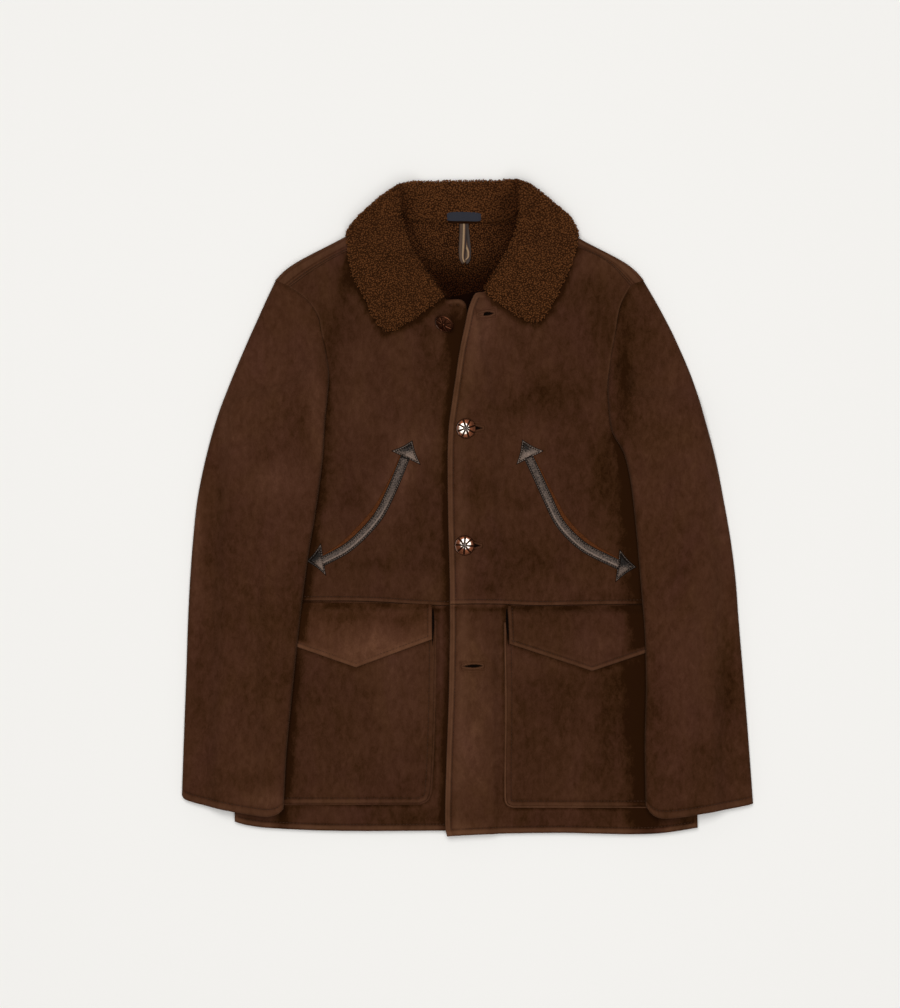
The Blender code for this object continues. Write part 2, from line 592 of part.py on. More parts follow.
WELT = {
    -1: [(-76.2, 57.6), (-89.4, 25.2), (-106.2, -8.4), (-127.8, -33.6), (-148.2, -50.4), (-173.0, -63.6)],
    1: [
        (73.8, 60.0), (83.4, 39.6), (95.4, 13.2), (108.6, -14.4), (123.0, -32.4), (143.4, -49.2),
        (178.0, -67.0),
    ],
}
LIP_WIDEST = 4.0
LIP_NARROWEST = 0.9
WELT_STEPS = 18
WELT_SECTION = (0.75, 0.95, 1.0, 0.95, 0.75)  # shares of its thickness, from edge to edge
ARROWHEADS = (  # name, side, tip, and the two corners of its base
    ("arrowhead_right_upper", -1, (-66.6, 80.4), (-90.4, 68.4), (-57.2, 52.8)),
    ("arrowhead_right_lower", -1, (-192.4, -63.6), (-176.2, -43.4), (-170.4, -80.2)),
    ("arrowhead_left_upper", 1, (66.0, 81.4), (59.4, 53.0), (90.4, 68.4)),
    ("arrowhead_left_lower", 1, (202.0, -70.8), (178.2, -88.0), (183.0, -50.6)),
)
# Each ring's share of the way in to the middle, and its height. The raised middle starts at 0.36.
ARROW_PROFILE = ((0.0, 0.0), (0.0, 1.0), (0.08, 1.3), (0.36, 1.6), (0.48, ARROW_THICK))


def strip(centre, low, high, rows=3):
    """A ribbon grid along a line, between two distances to one side of it (numbers, or one a point)."""
    way = np.gradient(centre, axis=0)
    way /= np.linalg.norm(way, axis=1, keepdims=True)
    normal = np.stack([-way[:, 1], way[:, 0]], axis=1)
    share = np.linspace(0.0, 1.0, rows)[:, None]
    return centre[None] + normal[None] * (low + (high - low) * share)[..., None]


def welt(side):
    """A curved strip of grained leather, rounded across, stopping short of both arrowheads."""
    line = respaced(curve(WELT[side], 60), np.linspace(0.012, 0.988, WELT_STEPS))
    half = WELT_WIDTH / 2
    grid = strip(line, -half, half, len(WELT_SECTION))
    under = front_top(grid[..., 0], grid[..., 1], side) + GAP
    thick = WELT_THICK * np.array(WELT_SECTION)[:, None]
    welt_name = "welt_right" if side < 0 else "welt_left"
    slab(welt_name, grid, under, under + thick, "grained_leather", 0.5)
    # The lip is widest in the lower half of the mouth and runs out at both ends.
    share = np.linspace(0.0, 1.0, WELT_STEPS)
    width = LIP_NARROWEST + LIP_WIDEST * np.sin(np.pi * share**1.3) ** 1.5
    near = side * (half + GAP)
    lip = strip(line, near, near + side * width)[:, 1:-1]
    under = front_top(lip[..., 0], lip[..., 1], side) + GAP
    lip_name = "lip_right" if side < 0 else "lip_left"
    slab(lip_name, lip, under, under + LIP_THICK, "tan_leather", 0.3)


def arrowhead(name, side, tip, base_a, base_b):
    """A triangle of leather with slightly hollow sides and a raised middle."""
    corners = np.array([tip, base_a, base_b], float)
    middle = corners.mean(axis=0)
    rim = []
    for hollow, a, b in zip((0.12, 0.0, 0.12), corners, np.roll(corners, -1, axis=0)):
        share = np.linspace(0.0, 1.0, 5)[:-1, None]
        edge = a + (b - a) * share
        rim.append(edge + (middle - edge) * hollow * np.sin(np.pi * share))
    rim = np.vstack(rim)
    first, second = corners[1] - corners[0], corners[2] - corners[0]
    if first[0] * second[1] < first[1] * second[0]:
        rim = rim[::-1]
    rings = []
    for inset, height in ARROW_PROFILE:
        ring = rim + (middle - rim) * inset
        floor = front_top(ring[:, 0], ring[:, 1], side) + GAP
        rings.append(np.c_[ring, floor + height])
    points = np.vstack(rings)
    count = len(rim)
    faces = []
    for level in range(len(rings) - 1):
        for k in range(count):
            a, b = level * count + k, level * count + (k + 1) % count
            faces.append((a, b, b + count, a + count))
    faces.append(tuple(range(count))[::-1])
    faces.append(tuple(range((len(rings) - 1) * count, len(rings) * count)))
    return mesh_object(name, points, faces, "grained_leather")


# ---------------------------------------------------------------- patch pockets and flaps

POCKET = {  # inner edge down, outer edge down, lower edge in to out, all short of the seams
    -1: {
        "inner": [(-36.8, -132.0), (-38.0, -240.0), (-42.2, -338.0), (-46.6, -350.6), (-57.0, -355.4)],
        "outer": [(-229.8, -132.0), (-229.8, -240.0), (-229.8, -355.0)],
        "top": [(-229.8, -132.0), (-133.0, -133.0), (-36.8, -132.0)],
    },
    1: {
        "inner": [(43.3, -134.4), (44.6, -240.0), (43.8, -346.0), (47.0, -354.6), (54.0, -357.4)],
        "outer": [(255.0, -134.4), (255.0, -240.0), (255.0, -356.6)],
        "top": [(43.3, -134.4), (149.0, -135.4), (255.0, -134.4)],
    },
}
FLAP = {
    -1: {
        "top": [(-225.0, -113.6), (-133.0, -114.0), (-42.8, -115.4)],
        "left": [(-225.0, -113.6), (-225.0, -159.6)],
        "right": [(-42.8, -115.4), (-42.4, -157.6)],
        "point": (-133.8, -191.4),
    },
    1: {
        "top": [(48.2, -117.6), (149.0, -117.4), (249.0, -117.0)],
        "left": [(48.2, -117.6), (50.2, -163.0)],
        "right": [(249.0, -117.0), (249.0, -162.0)],
        "point": (149.4, -195.6),
    },
}
FLAP_REST, FLAP_RAMP = 15.0, 9.0  # it has risen on to the pocket this far below the pocket's mouth


def pocket(side):
    """A patch of suede with a folded bellows edge, open along its upper edge."""
    shape = POCKET[side]
    inner, outer = curve(shape["inner"], 11), curve(shape["outer"], 11)
    lower = np.linspace(outer[-1], inner[-1], 8)
    top = curve(shape["top"], 8)
    if side < 0:
        grid = patch(top, lower, outer, inner)
    else:
        grid = patch(top, lower[::-1], inner, outer)
    grid = with_soft_border(grid, 2.4)
    under = front_top(grid[..., 0], grid[..., 1], side) + GAP
    name = "pocket_right" if side < 0 else "pocket_left"
    return slab(name, grid, under, under + POCKET_THICK, "suede", 1.2)


def flap(side):
    """A pointed flap, sewn into the waist seam and lying over the pocket's mouth."""
    shape = FLAP[side]
    top = curve(shape["top"], 9)
    left, right = curve(shape["left"], 5), curve(shape["right"], 5)
    point = np.array(shape["point"])
    lower = np.vstack([np.linspace(left[-1], point, 5), np.linspace(point, right[-1], 5)[1:]])
    grid = with_soft_border(patch(top, lower, left, right), 2.4)
    x, y = grid[..., 0], grid[..., 1]
    mouth = POCKET[side]["top"][0][1]
    over = step((mouth + FLAP_REST - y) / FLAP_RAMP)
    under = front_top(x, y, side) + GAP + over * (POCKET_THICK + GAP)
    name = "flap_right" if side < 0 else "flap_left"
    return slab(name, grid, under, under + FLAP_THICK, "suede", 1.0)


# ---------------------------------------------------------------- buttons, loop and label

BUTTON_HIGHEST = 0.97 * BUTTON_THICK
BUTTON_PROFILE = (  # radius share, height share, depth of the grooves
    (0.86, 0.00, 0.0),
    (1.00, 0.15, 0.0),
    (1.00, 0.46, 0.0),
    (0.90, 0.57, 0.0),
    (0.76, 0.57, 0.3),
    (0.46, 0.83, 0.55),
    (0.14, 1.00, 0.0),
)
BUTTON_GROOVES = 9
BUTTON_SIDES = 27


def button(name, x, y, tilt):
    """A domed metal button with a raised rim and radial grooves, resting on the front below it."""
    turn = np.linspace(0.0, 2 * np.pi, BUTTON_SIDES, endpoint=False)
    rings = []
    for radius, height, groove in BUTTON_PROFILE:
        dip = groove * (1 - np.cos(BUTTON_GROOVES * turn)) / 2
        ring = BUTTON_RADIUS * radius * np.stack([np.cos(turn), np.sin(turn)], axis=1)
        rings.append(np.c_[ring, BUTTON_HIGHEST * height - dip])
    points = np.vstack(rings)
    count = BUTTON_SIDES
    faces = []
    for level in range(len(rings) - 1):
        for k in range(count):
            a, b = level * count + k, level * count + (k + 1) % count
            faces.append((a, b, b + count, a + count))
    faces.append(tuple(range(count))[::-1])
    faces.append(tuple(range((len(rings) - 1) * count, len(rings) * count)))
    lean = np.radians(tilt)
    turned = np.c_[
        points[:, 0] * np.cos(lean) + points[:, 2] * np.sin(lean),
        points[:, 1],
        -points[:, 0] * np.sin(lean) + points[:, 2] * np.cos(lean),
    ]
    side = 1 if name in FASTENED else -1
    floor = float(np.max(front_top(x + turned[:, 0], y + turned[:, 1], side)))
    turned += (x, y, floor + GAP - turned[:, 2].min())
    return mesh_object(name, turned, faces, "button_metal")


LOOP_ENDS = ((-3.6, 339.0), (-3.6, 294.0))
LABEL_MIDDLE = (-4.2, 349.0)


def neck_trims():
    """The hanging loop on the neck seam, and the bare label above it on the stand."""
    line = np.linspace(LOOP_ENDS[0], LOOP_ENDS[1], 9)
    grid = strip(line, -LOOP_WIDTH / 2, LOOP_WIDTH / 2)
    under = lift(grid[..., 0], grid[..., 1]) + BACK_TOP + GAP
    slab("hanging_loop", grid, under, under + LOOP_THICK, "loop_leather", 0.8)
    width, height = LABEL_SIZE
    line = np.linspace((-width / 2, 0.0), (width / 2, 0.0), 5) + LABEL_MIDDLE
    grid = strip(line, -height / 2, height / 2)
    under = collar_top(grid[..., 0], grid[..., 1]) + GAP
    slab("label", grid, under, under + LABEL_THICK, "label_cloth", 0.3)


# ---------------------------------------------------------------- the coat


def clear_scene():
    for old in list(bpy.data.objects):
        bpy.data.objects.remove(old, do_unlink=True)


clear_scene()
back()
collar()
for which in (-1, 1):
    upper_front(which)
    lower_front(which)
    sleeve(which)
    welt(which)
    pocket(which)
    flap(which)
for row in ARROWHEADS:
    arrowhead(*row)
for row in BUTTONS:
    button(*row)
neck_trims()
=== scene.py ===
"""The looks of a shearling coat that lies flat on its back, front up, collar towards +Y.

Sizes and tables are millimetres, and points become metres as they enter a mesh. "Right" and "left" are
the wearer's: side -1 is the right, towards -X, and side 1 the left.
"""

import bpy
import numpy as np
from mathutils.kdtree import KDTree
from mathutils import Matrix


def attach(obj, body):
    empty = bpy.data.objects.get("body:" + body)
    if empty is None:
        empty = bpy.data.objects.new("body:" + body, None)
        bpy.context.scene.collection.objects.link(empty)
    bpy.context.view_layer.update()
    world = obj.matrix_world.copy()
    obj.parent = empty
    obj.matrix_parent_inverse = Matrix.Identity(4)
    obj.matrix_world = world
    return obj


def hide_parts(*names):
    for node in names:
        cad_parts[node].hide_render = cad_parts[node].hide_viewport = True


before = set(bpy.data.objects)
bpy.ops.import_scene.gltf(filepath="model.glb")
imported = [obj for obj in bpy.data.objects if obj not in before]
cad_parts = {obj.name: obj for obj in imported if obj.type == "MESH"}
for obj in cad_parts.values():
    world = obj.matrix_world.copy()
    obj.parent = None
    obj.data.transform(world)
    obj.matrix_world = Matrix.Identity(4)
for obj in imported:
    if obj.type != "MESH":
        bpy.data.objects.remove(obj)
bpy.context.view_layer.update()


# ---------------------------------------------------------------- floor, light and camera
# The coat lies on a plain, pale, matt studio floor. Large soft lights from above and from beyond the
# collar leave only a faint shadow round it, and the camera looks straight down through a long lens.

MM = 0.001
FLOOR_HALF = 6000.0
VIEW_MIDDLE, VIEW_HEIGHT = (-21.0, 4.8), 1209.6
VIEW_LEVEL = 12.0  # how far above the floor the view is that high
LENS, SENSOR = 135.0, 36.0


class Finish:
    """A material while it is built: its nodes, its Principled shader and the coordinates its noise reads."""

    def __init__(self, name, **constants):
        """The constants are the shader's, with _ for a space in a socket's name."""
        self.material = bpy.data.materials.new(name)
        self.material.use_nodes = True
        self.tree = self.material.node_tree
        self.shader = self.tree.nodes["Principled BSDF"]
        for key, value in constants.items():
            self.shader.inputs[key.replace("_", " ")].default_value = value
        self.where = self.node("ShaderNodeTexCoord").outputs["Object"]

    def put(self, value, socket):
        """Links a value that is a socket, and sets any other."""
        if isinstance(value, bpy.types.NodeSocket):
            self.tree.links.new(value, socket)
        else:
            socket.default_value = value

    def node(self, kind, settings=(), **inputs):
        """A node with its settings and its inputs, by name or, as i0, i1 and so on, by number."""
        made = self.tree.nodes.new(kind)
        for key, value in dict(settings).items():
            setattr(made, key, value)
        for key, value in inputs.items():
            by_number = key[0] == "i" and key[1:].isdigit()
            self.put(value, made.inputs[int(key[1:]) if by_number else key])
        return made

    def noise(self, scale, detail, **more):
        """Noise on the coordinates."""
        made = self.node("ShaderNodeTexNoise", Vector=self.where, Scale=scale, Detail=detail, **more)
        return made.outputs["Fac"]

    def attribute(self, name):
        """A value kept on the mesh's points."""
        return self.node("ShaderNodeAttribute", {"attribute_name": name}).outputs["Fac"]

    def times(self, value, factor, plus=0.0, clamp=False):
        """value * factor + plus, from 0 to 1 if it is clamped."""
        settings = {"operation": "MULTIPLY_ADD", "use_clamp": clamp}
        return self.node("ShaderNodeMath", settings, i0=value, i1=factor, i2=plus).outputs[0]

    def blend(self, share, one, two, kind="MIX"):
        """From one colour or socket at share 0 to the other, or to their product, at share 1."""
        one, two = (c if isinstance(c, bpy.types.NodeSocket) else (*c, 1.0) for c in (one, two))
        settings = {"data_type": "RGBA", "blend_type": kind}
        return self.node("ShaderNodeMix", settings, Factor=share, i6=one, i7=two).outputs[2]

    def ramp(self, share, stops):
        """The colour at a share between stops, each a place from 0 to 1 and its colour."""
        made = self.node("ShaderNodeValToRGB", Fac=share)
        while len(made.color_ramp.elements) < len(stops):
            made.color_ramp.elements.new(0.5)
        for stop, (place, colour) in zip(made.color_ramp.elements, stops):
            stop.position = place
            stop.color = (*colour, 1.0)
        return made.outputs["Color"]

    def finished(self, colour, height=None, strength=0.0, distance=0.0, **settings):
        """Gives the shader its colour and, where there is a height, its bump. Returns the material."""
        self.put(colour, self.shader.inputs["Base Color"])
        if height is not None:
            bump = self.node("ShaderNodeBump", settings, Height=height, Strength=strength, Distance=distance)
            self.put(bump.outputs["Normal"], self.shader.inputs["Normal"])
        return self.material


def lay_floor():
    """A square of four points with a barely mottled matt finish."""
    paper = Finish("floor_paper", Roughness=1.0, Specular_IOR_Level=0.0)
    tint = paper.blend(paper.noise(1.5, 2.0), (0.930, 0.918, 0.890), (0.940, 0.930, 0.904))
    mesh = bpy.data.meshes.new("floor")
    corners = np.array([(-1, -1, 0), (1, -1, 0), (1, 1, 0), (-1, 1, 0)]) * FLOOR_HALF * MM
    mesh.from_pydata(corners.tolist(), [], [(0, 1, 2, 3)])
    mesh.materials.append(paper.finished(tint))
    floor = bpy.data.objects.new("floor", mesh)
    bpy.context.scene.collection.objects.link(floor)


def soft_light(name, place, size, watts):
    """A square area light that faces the coat's middle."""
    lamp = bpy.data.lights.new(name, "AREA")
    lamp.size = size
    lamp.energy = watts
    made = bpy.data.objects.new(name, lamp)
    made.location = place
    made.rotation_euler = made.location.to_track_quat("Z", "Y").to_euler()
    bpy.context.scene.collection.objects.link(made)


lay_floor()
soft_light("key_light", (-1.2, 4.6, 10.4), 3.4, 300.0)
soft_light("fill_light", (0.9, -3.4, 6.4), 3.0, 64.0)
soft_light("top_light", (0.0, 0.1, 5.2), 3.0, 138.0)
world = bpy.data.worlds.new("studio")
world.use_nodes = True
world.node_tree.nodes["Background"].inputs["Color"].default_value = (1.0, 0.99, 0.975, 1.0)
world.node_tree.nodes["Background"].inputs["Strength"].default_value = 0.20
bpy.context.scene.world = world
bpy.context.scene.view_settings.view_transform = "Standard"

lens = bpy.data.cameras.new("camera")
lens.lens = LENS
lens.sensor_fit = "VERTICAL"
lens.sensor_height = SENSOR
lens.sensor_width = SENSOR
lens.clip_end = 50.0
camera = bpy.data.objects.new("camera", lens)
camera.location = np.array([*VIEW_MIDDLE, VIEW_HEIGHT * LENS / SENSOR + VIEW_LEVEL]) * MM
bpy.context.scene.collection.objects.link(camera)
bpy.context.scene.camera = camera


# ---------------------------------------------------------------- back
# One sheepskin panel from the neck seam to the hem, suede below and wool above. Its shoulder edges are
# folded forward to the shoulder seams, which the next section adds on top of the fronts.

WALL, GAP = 5.0, 0.3
BACK_TOP, FRONT_TOP = WALL, 2 * WALL + GAP
BACK_SPACING = 11.0  # how far apart the back's points are
NECK_X, FALL_HALF, FALL_MIDDLE_Y = -6.0, 140.0, 294.0
LIFT_RAMP, BESIDE_RAMP = 44.0, 32.0
LAYER_SLACK, SLACK_REACH = 0.8, 40.0
EDGE_ROWS = np.array([0.0, 0.35, 1.0, 1.9, 2.9, 3.8, 4.5, 5.1, 5.7, 6.3, 6.9, 7.5, 8.1, 8.8, 9.6, 10.8])
PILE_DEEP = 0.45  # share of a panel's edge that is wool, under the suede

SHOULDER = {
    -1: [(-231.0, 273.6), (-219.0, 285.6), (-201.0, 297.6), (-154.2, 321.6), (-108.6, 344.4), (-82.0, 356.0)],
    1: [(66.0, 356.0), (93.0, 343.8), (137.4, 321.6), (184.2, 297.6), (201.0, 285.6), (211.8, 273.6)],
}
SHOULDER_SEAM = {
    -1: [
        (-214.6, 265.0), (-204.6, 272.4), (-191.4, 282.0), (-175.8, 292.2), (-153.0, 304.8), (-119.4, 319.2),
        (-90.6, 332.4),
    ],
    1: [
        (72.6, 336.5), (101.4, 324.0), (136.2, 311.6), (156.6, 303.0), (167.4, 296.4), (177.0, 288.4),
        (186.6, 278.0), (197.0, 266.4),
    ],
}
BACK_NECK = [
    (-82.0, 356.0), (-70.2, 345.4), (-51.0, 341.0), (-0.6, 340.0), (39.0, 341.2), (54.0, 346.0),
    (66.0, 356.0),
]
BACK_HEM = [(-279.6, -374.0), (-120.0, -384.0), (0.0, -385.0), (120.0, -384.0), (276.4, -380.0)]
ARMHOLE = {
    -1: [
        (-230.6, 273.2), (-214.6, 265.0), (-199.8, 255.0), (-187.8, 243.0), (-179.4, 228.6),
        (-176.0, 210.0), (-170.6, 187.2), (-168.0, 163.2), (-168.8, 143.0), (-182.0, 120.0),
        (-210.0, 104.0), (-264.6, 93.6),
    ],
    1: [
        (211.4, 273.0), (197.0, 266.4), (189.8, 254.8), (184.6, 243.8), (181.4, 231.0), (178.4, 211.2),
        (173.2, 184.0), (170.0, 153.0), (169.8, 128.0), (177.0, 107.0), (200.0, 96.0), (267.0, 93.6),
    ],
}
SIDE = {
    -1: [(-264.6, 93.6), (-269.4, -14.4), (-274.2, -158.4), (-277.8, -278.4), (-279.6, -376.8)],
    1: [(267.0, 93.6), (270.6, -14.4), (274.2, -158.4), (275.4, -278.4), (276.4, -384.0)],
}
# Where brushing leaves the napped skin lighter (above 0) or darker, and where painted light and shade lie
# on it, beside the sleeves, under the flaps and along soft folds: x, y, half width, half height, strength.
NAP_MARKS = [
    (-100, 160, 60, 60, 0.25), (-60, 20, 55, 70, -0.10), (-120, 150, 90, 30, -0.15),
    (-45, 120, 22, 90, -0.05), (-75, -75, 90, 24, 0.20), (-160, 205, 24, 60, -0.45),
    (-150, 240, 50, 26, 0.20), (-52, 82, 30, 26, 0.55), (85, 100, 45, 30, 0.35), (60, 165, 45, 50, 0.20),
    (120, 60, 60, 90, 0.08), (165, 120, 22, 110, -0.10), (60, -60, 60, 30, -0.25), (0, -240, 26, 130, 0.30),
    (-60, -240, 40, 90, -0.30), (-130, -170, 90, 22, 0.45), (150, -172, 90, 22, 0.22),
    (-130, -280, 70, 60, -0.20), (129, -330, 18, 50, 0.35), (190, -240, 50, 60, -0.2),
    (-60, -370, 50, 12, -0.60), (-150, -372, 60, 12, 0.20), (150, -374, 70, 12, -0.20),
    (-40, 205, 26, 40, -0.45), (-270, 100, 34, 120, 0.25), (-300, -60, 30, 90, -0.20),
    (-270, -250, 46, 80, 0.20), (-250, -330, 60, 26, -0.4), (255, 130, 34, 90, 0.25),
    (290, -40, 34, 80, 0.30), (270, -210, 44, 80, 0.20), (300, -310, 46, 34, -0.35),
    (20, 228, 40, 16, 0.45), (150, 290, 60, 16, 0.35), (-160, 292, 60, 16, 0.35), (-219, 166, 38, 46, 0.15),
    (-182, 118, 9, 55, 0.80), (-231, 34, 36, 22, 0.90), (-327, -20, 8, 80, 0.90),
    (-219, -170, 42, 60, -0.20), (-201, -98, 16, 40, -0.50), (-243, -350, 40, 14, 1.00),
    (-78, 43, 18, 22, 1.10), (-99, 10, 22, 30, 0.50), (-105, -68, 66, 10, -0.50), (-93, -160, 56, 16, 0.52),
    (-81, -236, 44, 66, 0.68), (8, -254, 22, 96, 0.75), (105, -230, 44, 38, -0.20),
    (168, -264, 14, 90, -0.60), (205, -386, 30, 8, 0.80), (279, -254, 20, 32, 0.10),
    (311, -218, 16, 50, -0.70), (188, 172, 11, 60, -0.75), (92, 128, 44, 30, -0.75),
    (-19, 202, 11, 36, -1.10), (-147, 268, 12, 24, -1.00), (10, 202, 14, 42, 0.75),
    (-5, -384, 20, 10, 0.80), (-267, -380, 20, 9, -0.60), (267, -380, 16, 10, -0.80),
    (69, 5, 16, 16, -0.40), (309, -10, 12, 90, 0.45), (153, -160, 40, 14, 0.40), (-170, 95, 8, 60, 0.30),
    (9, 28, 14, 26, -0.60), (25, -172, 40, 18, 0.40), (69, -195, 20, 18, 0.40), (9, -242, 12, 16, -0.80),
    (-201, -352, 14, 14, -0.50), (-310, -105, 22, 26, 0.50), (-135, 122, 30, 30, 0.50),
    (-141, 8, 16, 20, -0.40), (-81, 84, 18, 16, 0.50), (-171, -98, 12, 14, 0.50), (234, -312, 20, 16, 0.40),
    (159, 128, 14, 40, 0.40), (162, 20, 16, 50, -0.30), (-171, -386, 20, 8, -1.00),
    (-171, 64, 12, 26, 0.35), (-40, -98, 20, 16, 0.40), (-322, -25, 8, 50, 0.40),
    (-262, -230, 26, 40, -0.35), (39, -352, 16, 20, -0.30), (-158, 258, 26, 16, 0.50),
    (146, 262, 26, 18, -0.45), (160, 222, 14, 22, -0.40), (69, 190, 18, 20, -0.35),
    (45, 118, 20, 18, -0.25), (189, 105, 16, 40, -0.50), (165, 40, 16, 34, -0.40), (24, -98, 28, 14, -0.25),
    (105, 80, 30, 18, -0.22), (-141, -172, 30, 14, 0.30), (69, -262, 18, 50, -0.25),
    (115, -206, 24, 16, -0.25), (145, -314, 24, 16, -0.25), (-141, 172, 18, 30, 0.40),
    (249, 154, 16, 20, 0.40), (-291, 118, 8, 40, 0.50), (-246, 46, 24, 24, -0.25),
    (-201, 112, 14, 24, -0.25), (309, -60, 12, 50, -0.30), (-321, -240, 10, 44, -0.30),
    (222, -312, 14, 26, -0.40), (279, -152, 18, 24, 0.25), (-200, 262, 40, 16, 0.15),
    (-261, -314, 26, 18, 0.30), (200, 226, 20, 20, -0.35), (190, -206, 14, 24, -0.80),
    (190, -258, 12, 30, -0.45), (-51, -134, 10, 18, 0.40), (22, -98, 16, 14, -0.25),
    (-141, -98, 14, 14, 0.25), (-201, -98, 12, 14, 0.30), (-58, -127, 14, 7, -0.60),
    (-78, -136, 16, 6, -0.40), (-140, -130, 60, 8, -0.35), (-14, 218, 9, 26, -0.60),
    (-30, 198, 9, 14, 0.70), (-53, 212, 8, 20, -0.55), (-78, -312, 22, 16, 0.25), (-51, -352, 14, 16, 0.25),
    (-141, -352, 16, 14, 0.25), (162, -62, 22, 12, -0.25),
]
# Shade of the collar's rolls, on the wool between them: points down each roll and how far it reaches in.
ROLL_SHADE = {
    -1: [
        (-82, 388, 5), (-80, 372, 8), (-79, 357, 11), (-76, 337, 14), (-65, 308, 18), (-50, 285, 19),
        (-26, 253, 16),
    ],
    1: [
        (60, 388, 8), (62, 372, 17), (61, 350, 20), (58, 337, 19), (50, 313, 17), (33, 283, 16),
        (20, 262, 14),
    ],
}
CLOSING_SHADE_TOP, CLOSING_SHADE_FALL = 316.0, 50.0
NECK_SEAM_Y = 342.5
WOOL_SHADE_HALF = 20.0
# Round pools of painted shade in the wool, where it lies in hollows.
WOOL_SHADE = (  # round hollows in the wool: x, y, strength
    (42, 337, 0.34), (30, 298, 0.30), (48, 366, 0.25), (-70, 360, 0.20), (-30, 290, 0.15),
)


def step(value):
    """0 below 0, 1 above 1, and a smooth rise between them: 3v^2 - 2v^3."""
    value = np.clip(value, 0.0, 1.0)
    return value * value * (3.0 - 2.0 * value)


def bell(value, half):
    """exp(-(value / half)^2): 1 at 0, and dying away on both sides."""
    return np.exp(-((value / half) ** 2))


def curve(points, count=160):
    """Count points, evenly spaced, on a smooth curve through the given ones (Catmull-Rom)."""
    points = np.array(points, float)
    ends = np.vstack([2 * points[0] - points[1], points, 2 * points[-1] - points[-2]])
    t = np.linspace(0.0, 1.0, 24, endpoint=False)[:, None]
    fine = []
    for a, b, c, d in zip(ends[:-3], ends[1:-2], ends[2:-1], ends[3:]):
        reach = np.linalg.norm(c - b)
        before = (c - a) * reach / max(reach + np.linalg.norm(b - a), 1e-6)
        after = (d - b) * reach / max(reach + np.linalg.norm(d - c), 1e-6)
        fine.append(
            (2 * t**3 - 3 * t**2 + 1) * b
            + (t**3 - 2 * t**2 + t) * before
            + (3 * t**2 - 2 * t**3) * c
            + (t**3 - t**2) * after
        )
    fine = np.vstack(fine + [points[-1:]])
    return respaced(fine, np.linspace(0.0, 1.0, count))


def lengths(line):
    """How far along a line each of its points is."""
    return np.concatenate([[0.0], np.cumsum(np.linalg.norm(np.diff(line, axis=0), axis=1))])


def respaced(line, shares):
    """The same line, with points at the given shares of its length."""
    along = lengths(line)
    return np.stack([np.interp(shares * along[-1], along, line[:, k]) for k in range(line.shape[1])], axis=1)


def chain(*stretches):
    """Smooth stretches joined end to end, with real corners between."""
    parts = [curve(points) for points in stretches]
    return np.vstack([parts[0]] + [part[1:] for part in parts[1:]])


def shares_of(length, spacing):
    """Places from 0 to 1 along an edge: close together at both ends, where a border is rounded, then even."""
    rows = EDGE_ROWS[EDGE_ROWS < length / 3]
    middle = np.linspace(rows[-1], length - rows[-1], max(3, int(round(length / spacing))))
    return np.concatenate([rows[:-1], middle, length - rows[:-1][::-1]]) / length


def patch(top, bottom, left, right, spacing):
    """The Coons grid between four edges: rows run from top to bottom, and columns from left to right."""
    s = shares_of((lengths(top)[-1] + lengths(bottom)[-1]) / 2, spacing)
    t = shares_of((lengths(left)[-1] + lengths(right)[-1]) / 2, spacing)
    top, bottom, left, right = respaced(top, s), respaced(bottom, s), respaced(left, t), respaced(right, t)
    s, t = s[None, :, None], t[:, None, None]
    corners = (1 - t) * ((1 - s) * top[0] + s * top[-1]) + t * ((1 - s) * bottom[0] + s * bottom[-1])
    return (1 - t) * top[None] + t * bottom[None] + (1 - s) * left[:, None] + s * right[:, None] - corners


def side_distances(grid):
    """How far each point is, along the grid, from the first row, last row, first column and last column."""
    down = np.cumsum(np.linalg.norm(np.diff(grid, axis=0, prepend=grid[:1]), axis=2), axis=0)
    over = np.cumsum(np.linalg.norm(np.diff(grid, axis=1, prepend=grid[:, :1]), axis=2), axis=1)
    return down, down[-1:] - down, over, over[:, -1:] - over


def line_distance(x, y, line):
    """How far each place is from a line in the plane, nearest stretch first."""
    points = np.stack([np.ravel(x), np.ravel(y)], axis=1)
    best = np.full(len(points), np.inf)
    for a, b in zip(line[:-1], line[1:]):
        way = b - a
        share = np.clip((points - a) @ way / max(way @ way, 1e-9), 0.0, 1.0)
        best = np.minimum(best, np.linalg.norm(points - a - share[:, None] * way, axis=1))
    return best.reshape(np.shape(x))


def offset(line, distance):
    """The line moved to its own left side by a distance."""
    way = np.gradient(line, axis=0)
    way /= np.maximum(np.linalg.norm(way, axis=1, keepdims=True), 1e-9)
    return line + distance * np.stack([-way[:, 1], way[:, 0]], axis=1)


def fall_edge(x):
    """The lower edge of the collar's fall under the back: 294 mm up at the middle, and higher outwards."""
    out = np.abs(x - NECK_X) / FALL_HALF
    return FALL_MIDDLE_Y + 22.0 * out**2 + 12.0 * out**8


def lift(x, y, layer=0):
    """How far a layer near the neck is raised by the collar's fall under the back, 0 being the back."""
    below = y - fall_edge(x) + LIFT_RAMP
    beside = FALL_HALF + BESIDE_RAMP - np.abs(x - NECK_X)
    share = step(below / LIFT_RAMP) * step(beside / BESIDE_RAMP)
    loose = step((below + SLACK_REACH) / SLACK_REACH) * step((beside + SLACK_REACH) / SLACK_REACH)
    return (WALL + GAP) * share + layer * LAYER_SLACK * loose


def brushed(x, y):
    """The tone at a place, from brushing of the napped skin and from painted light and shade: the sum of soft
    oval marks, each dying away like a bell.
    """
    tone = np.zeros(np.shape(x))
    for at_x, at_y, wide, high, strength in NAP_MARKS:
        tone += strength * bell(x - at_x, wide) * bell(y - at_y, high)
    return tone


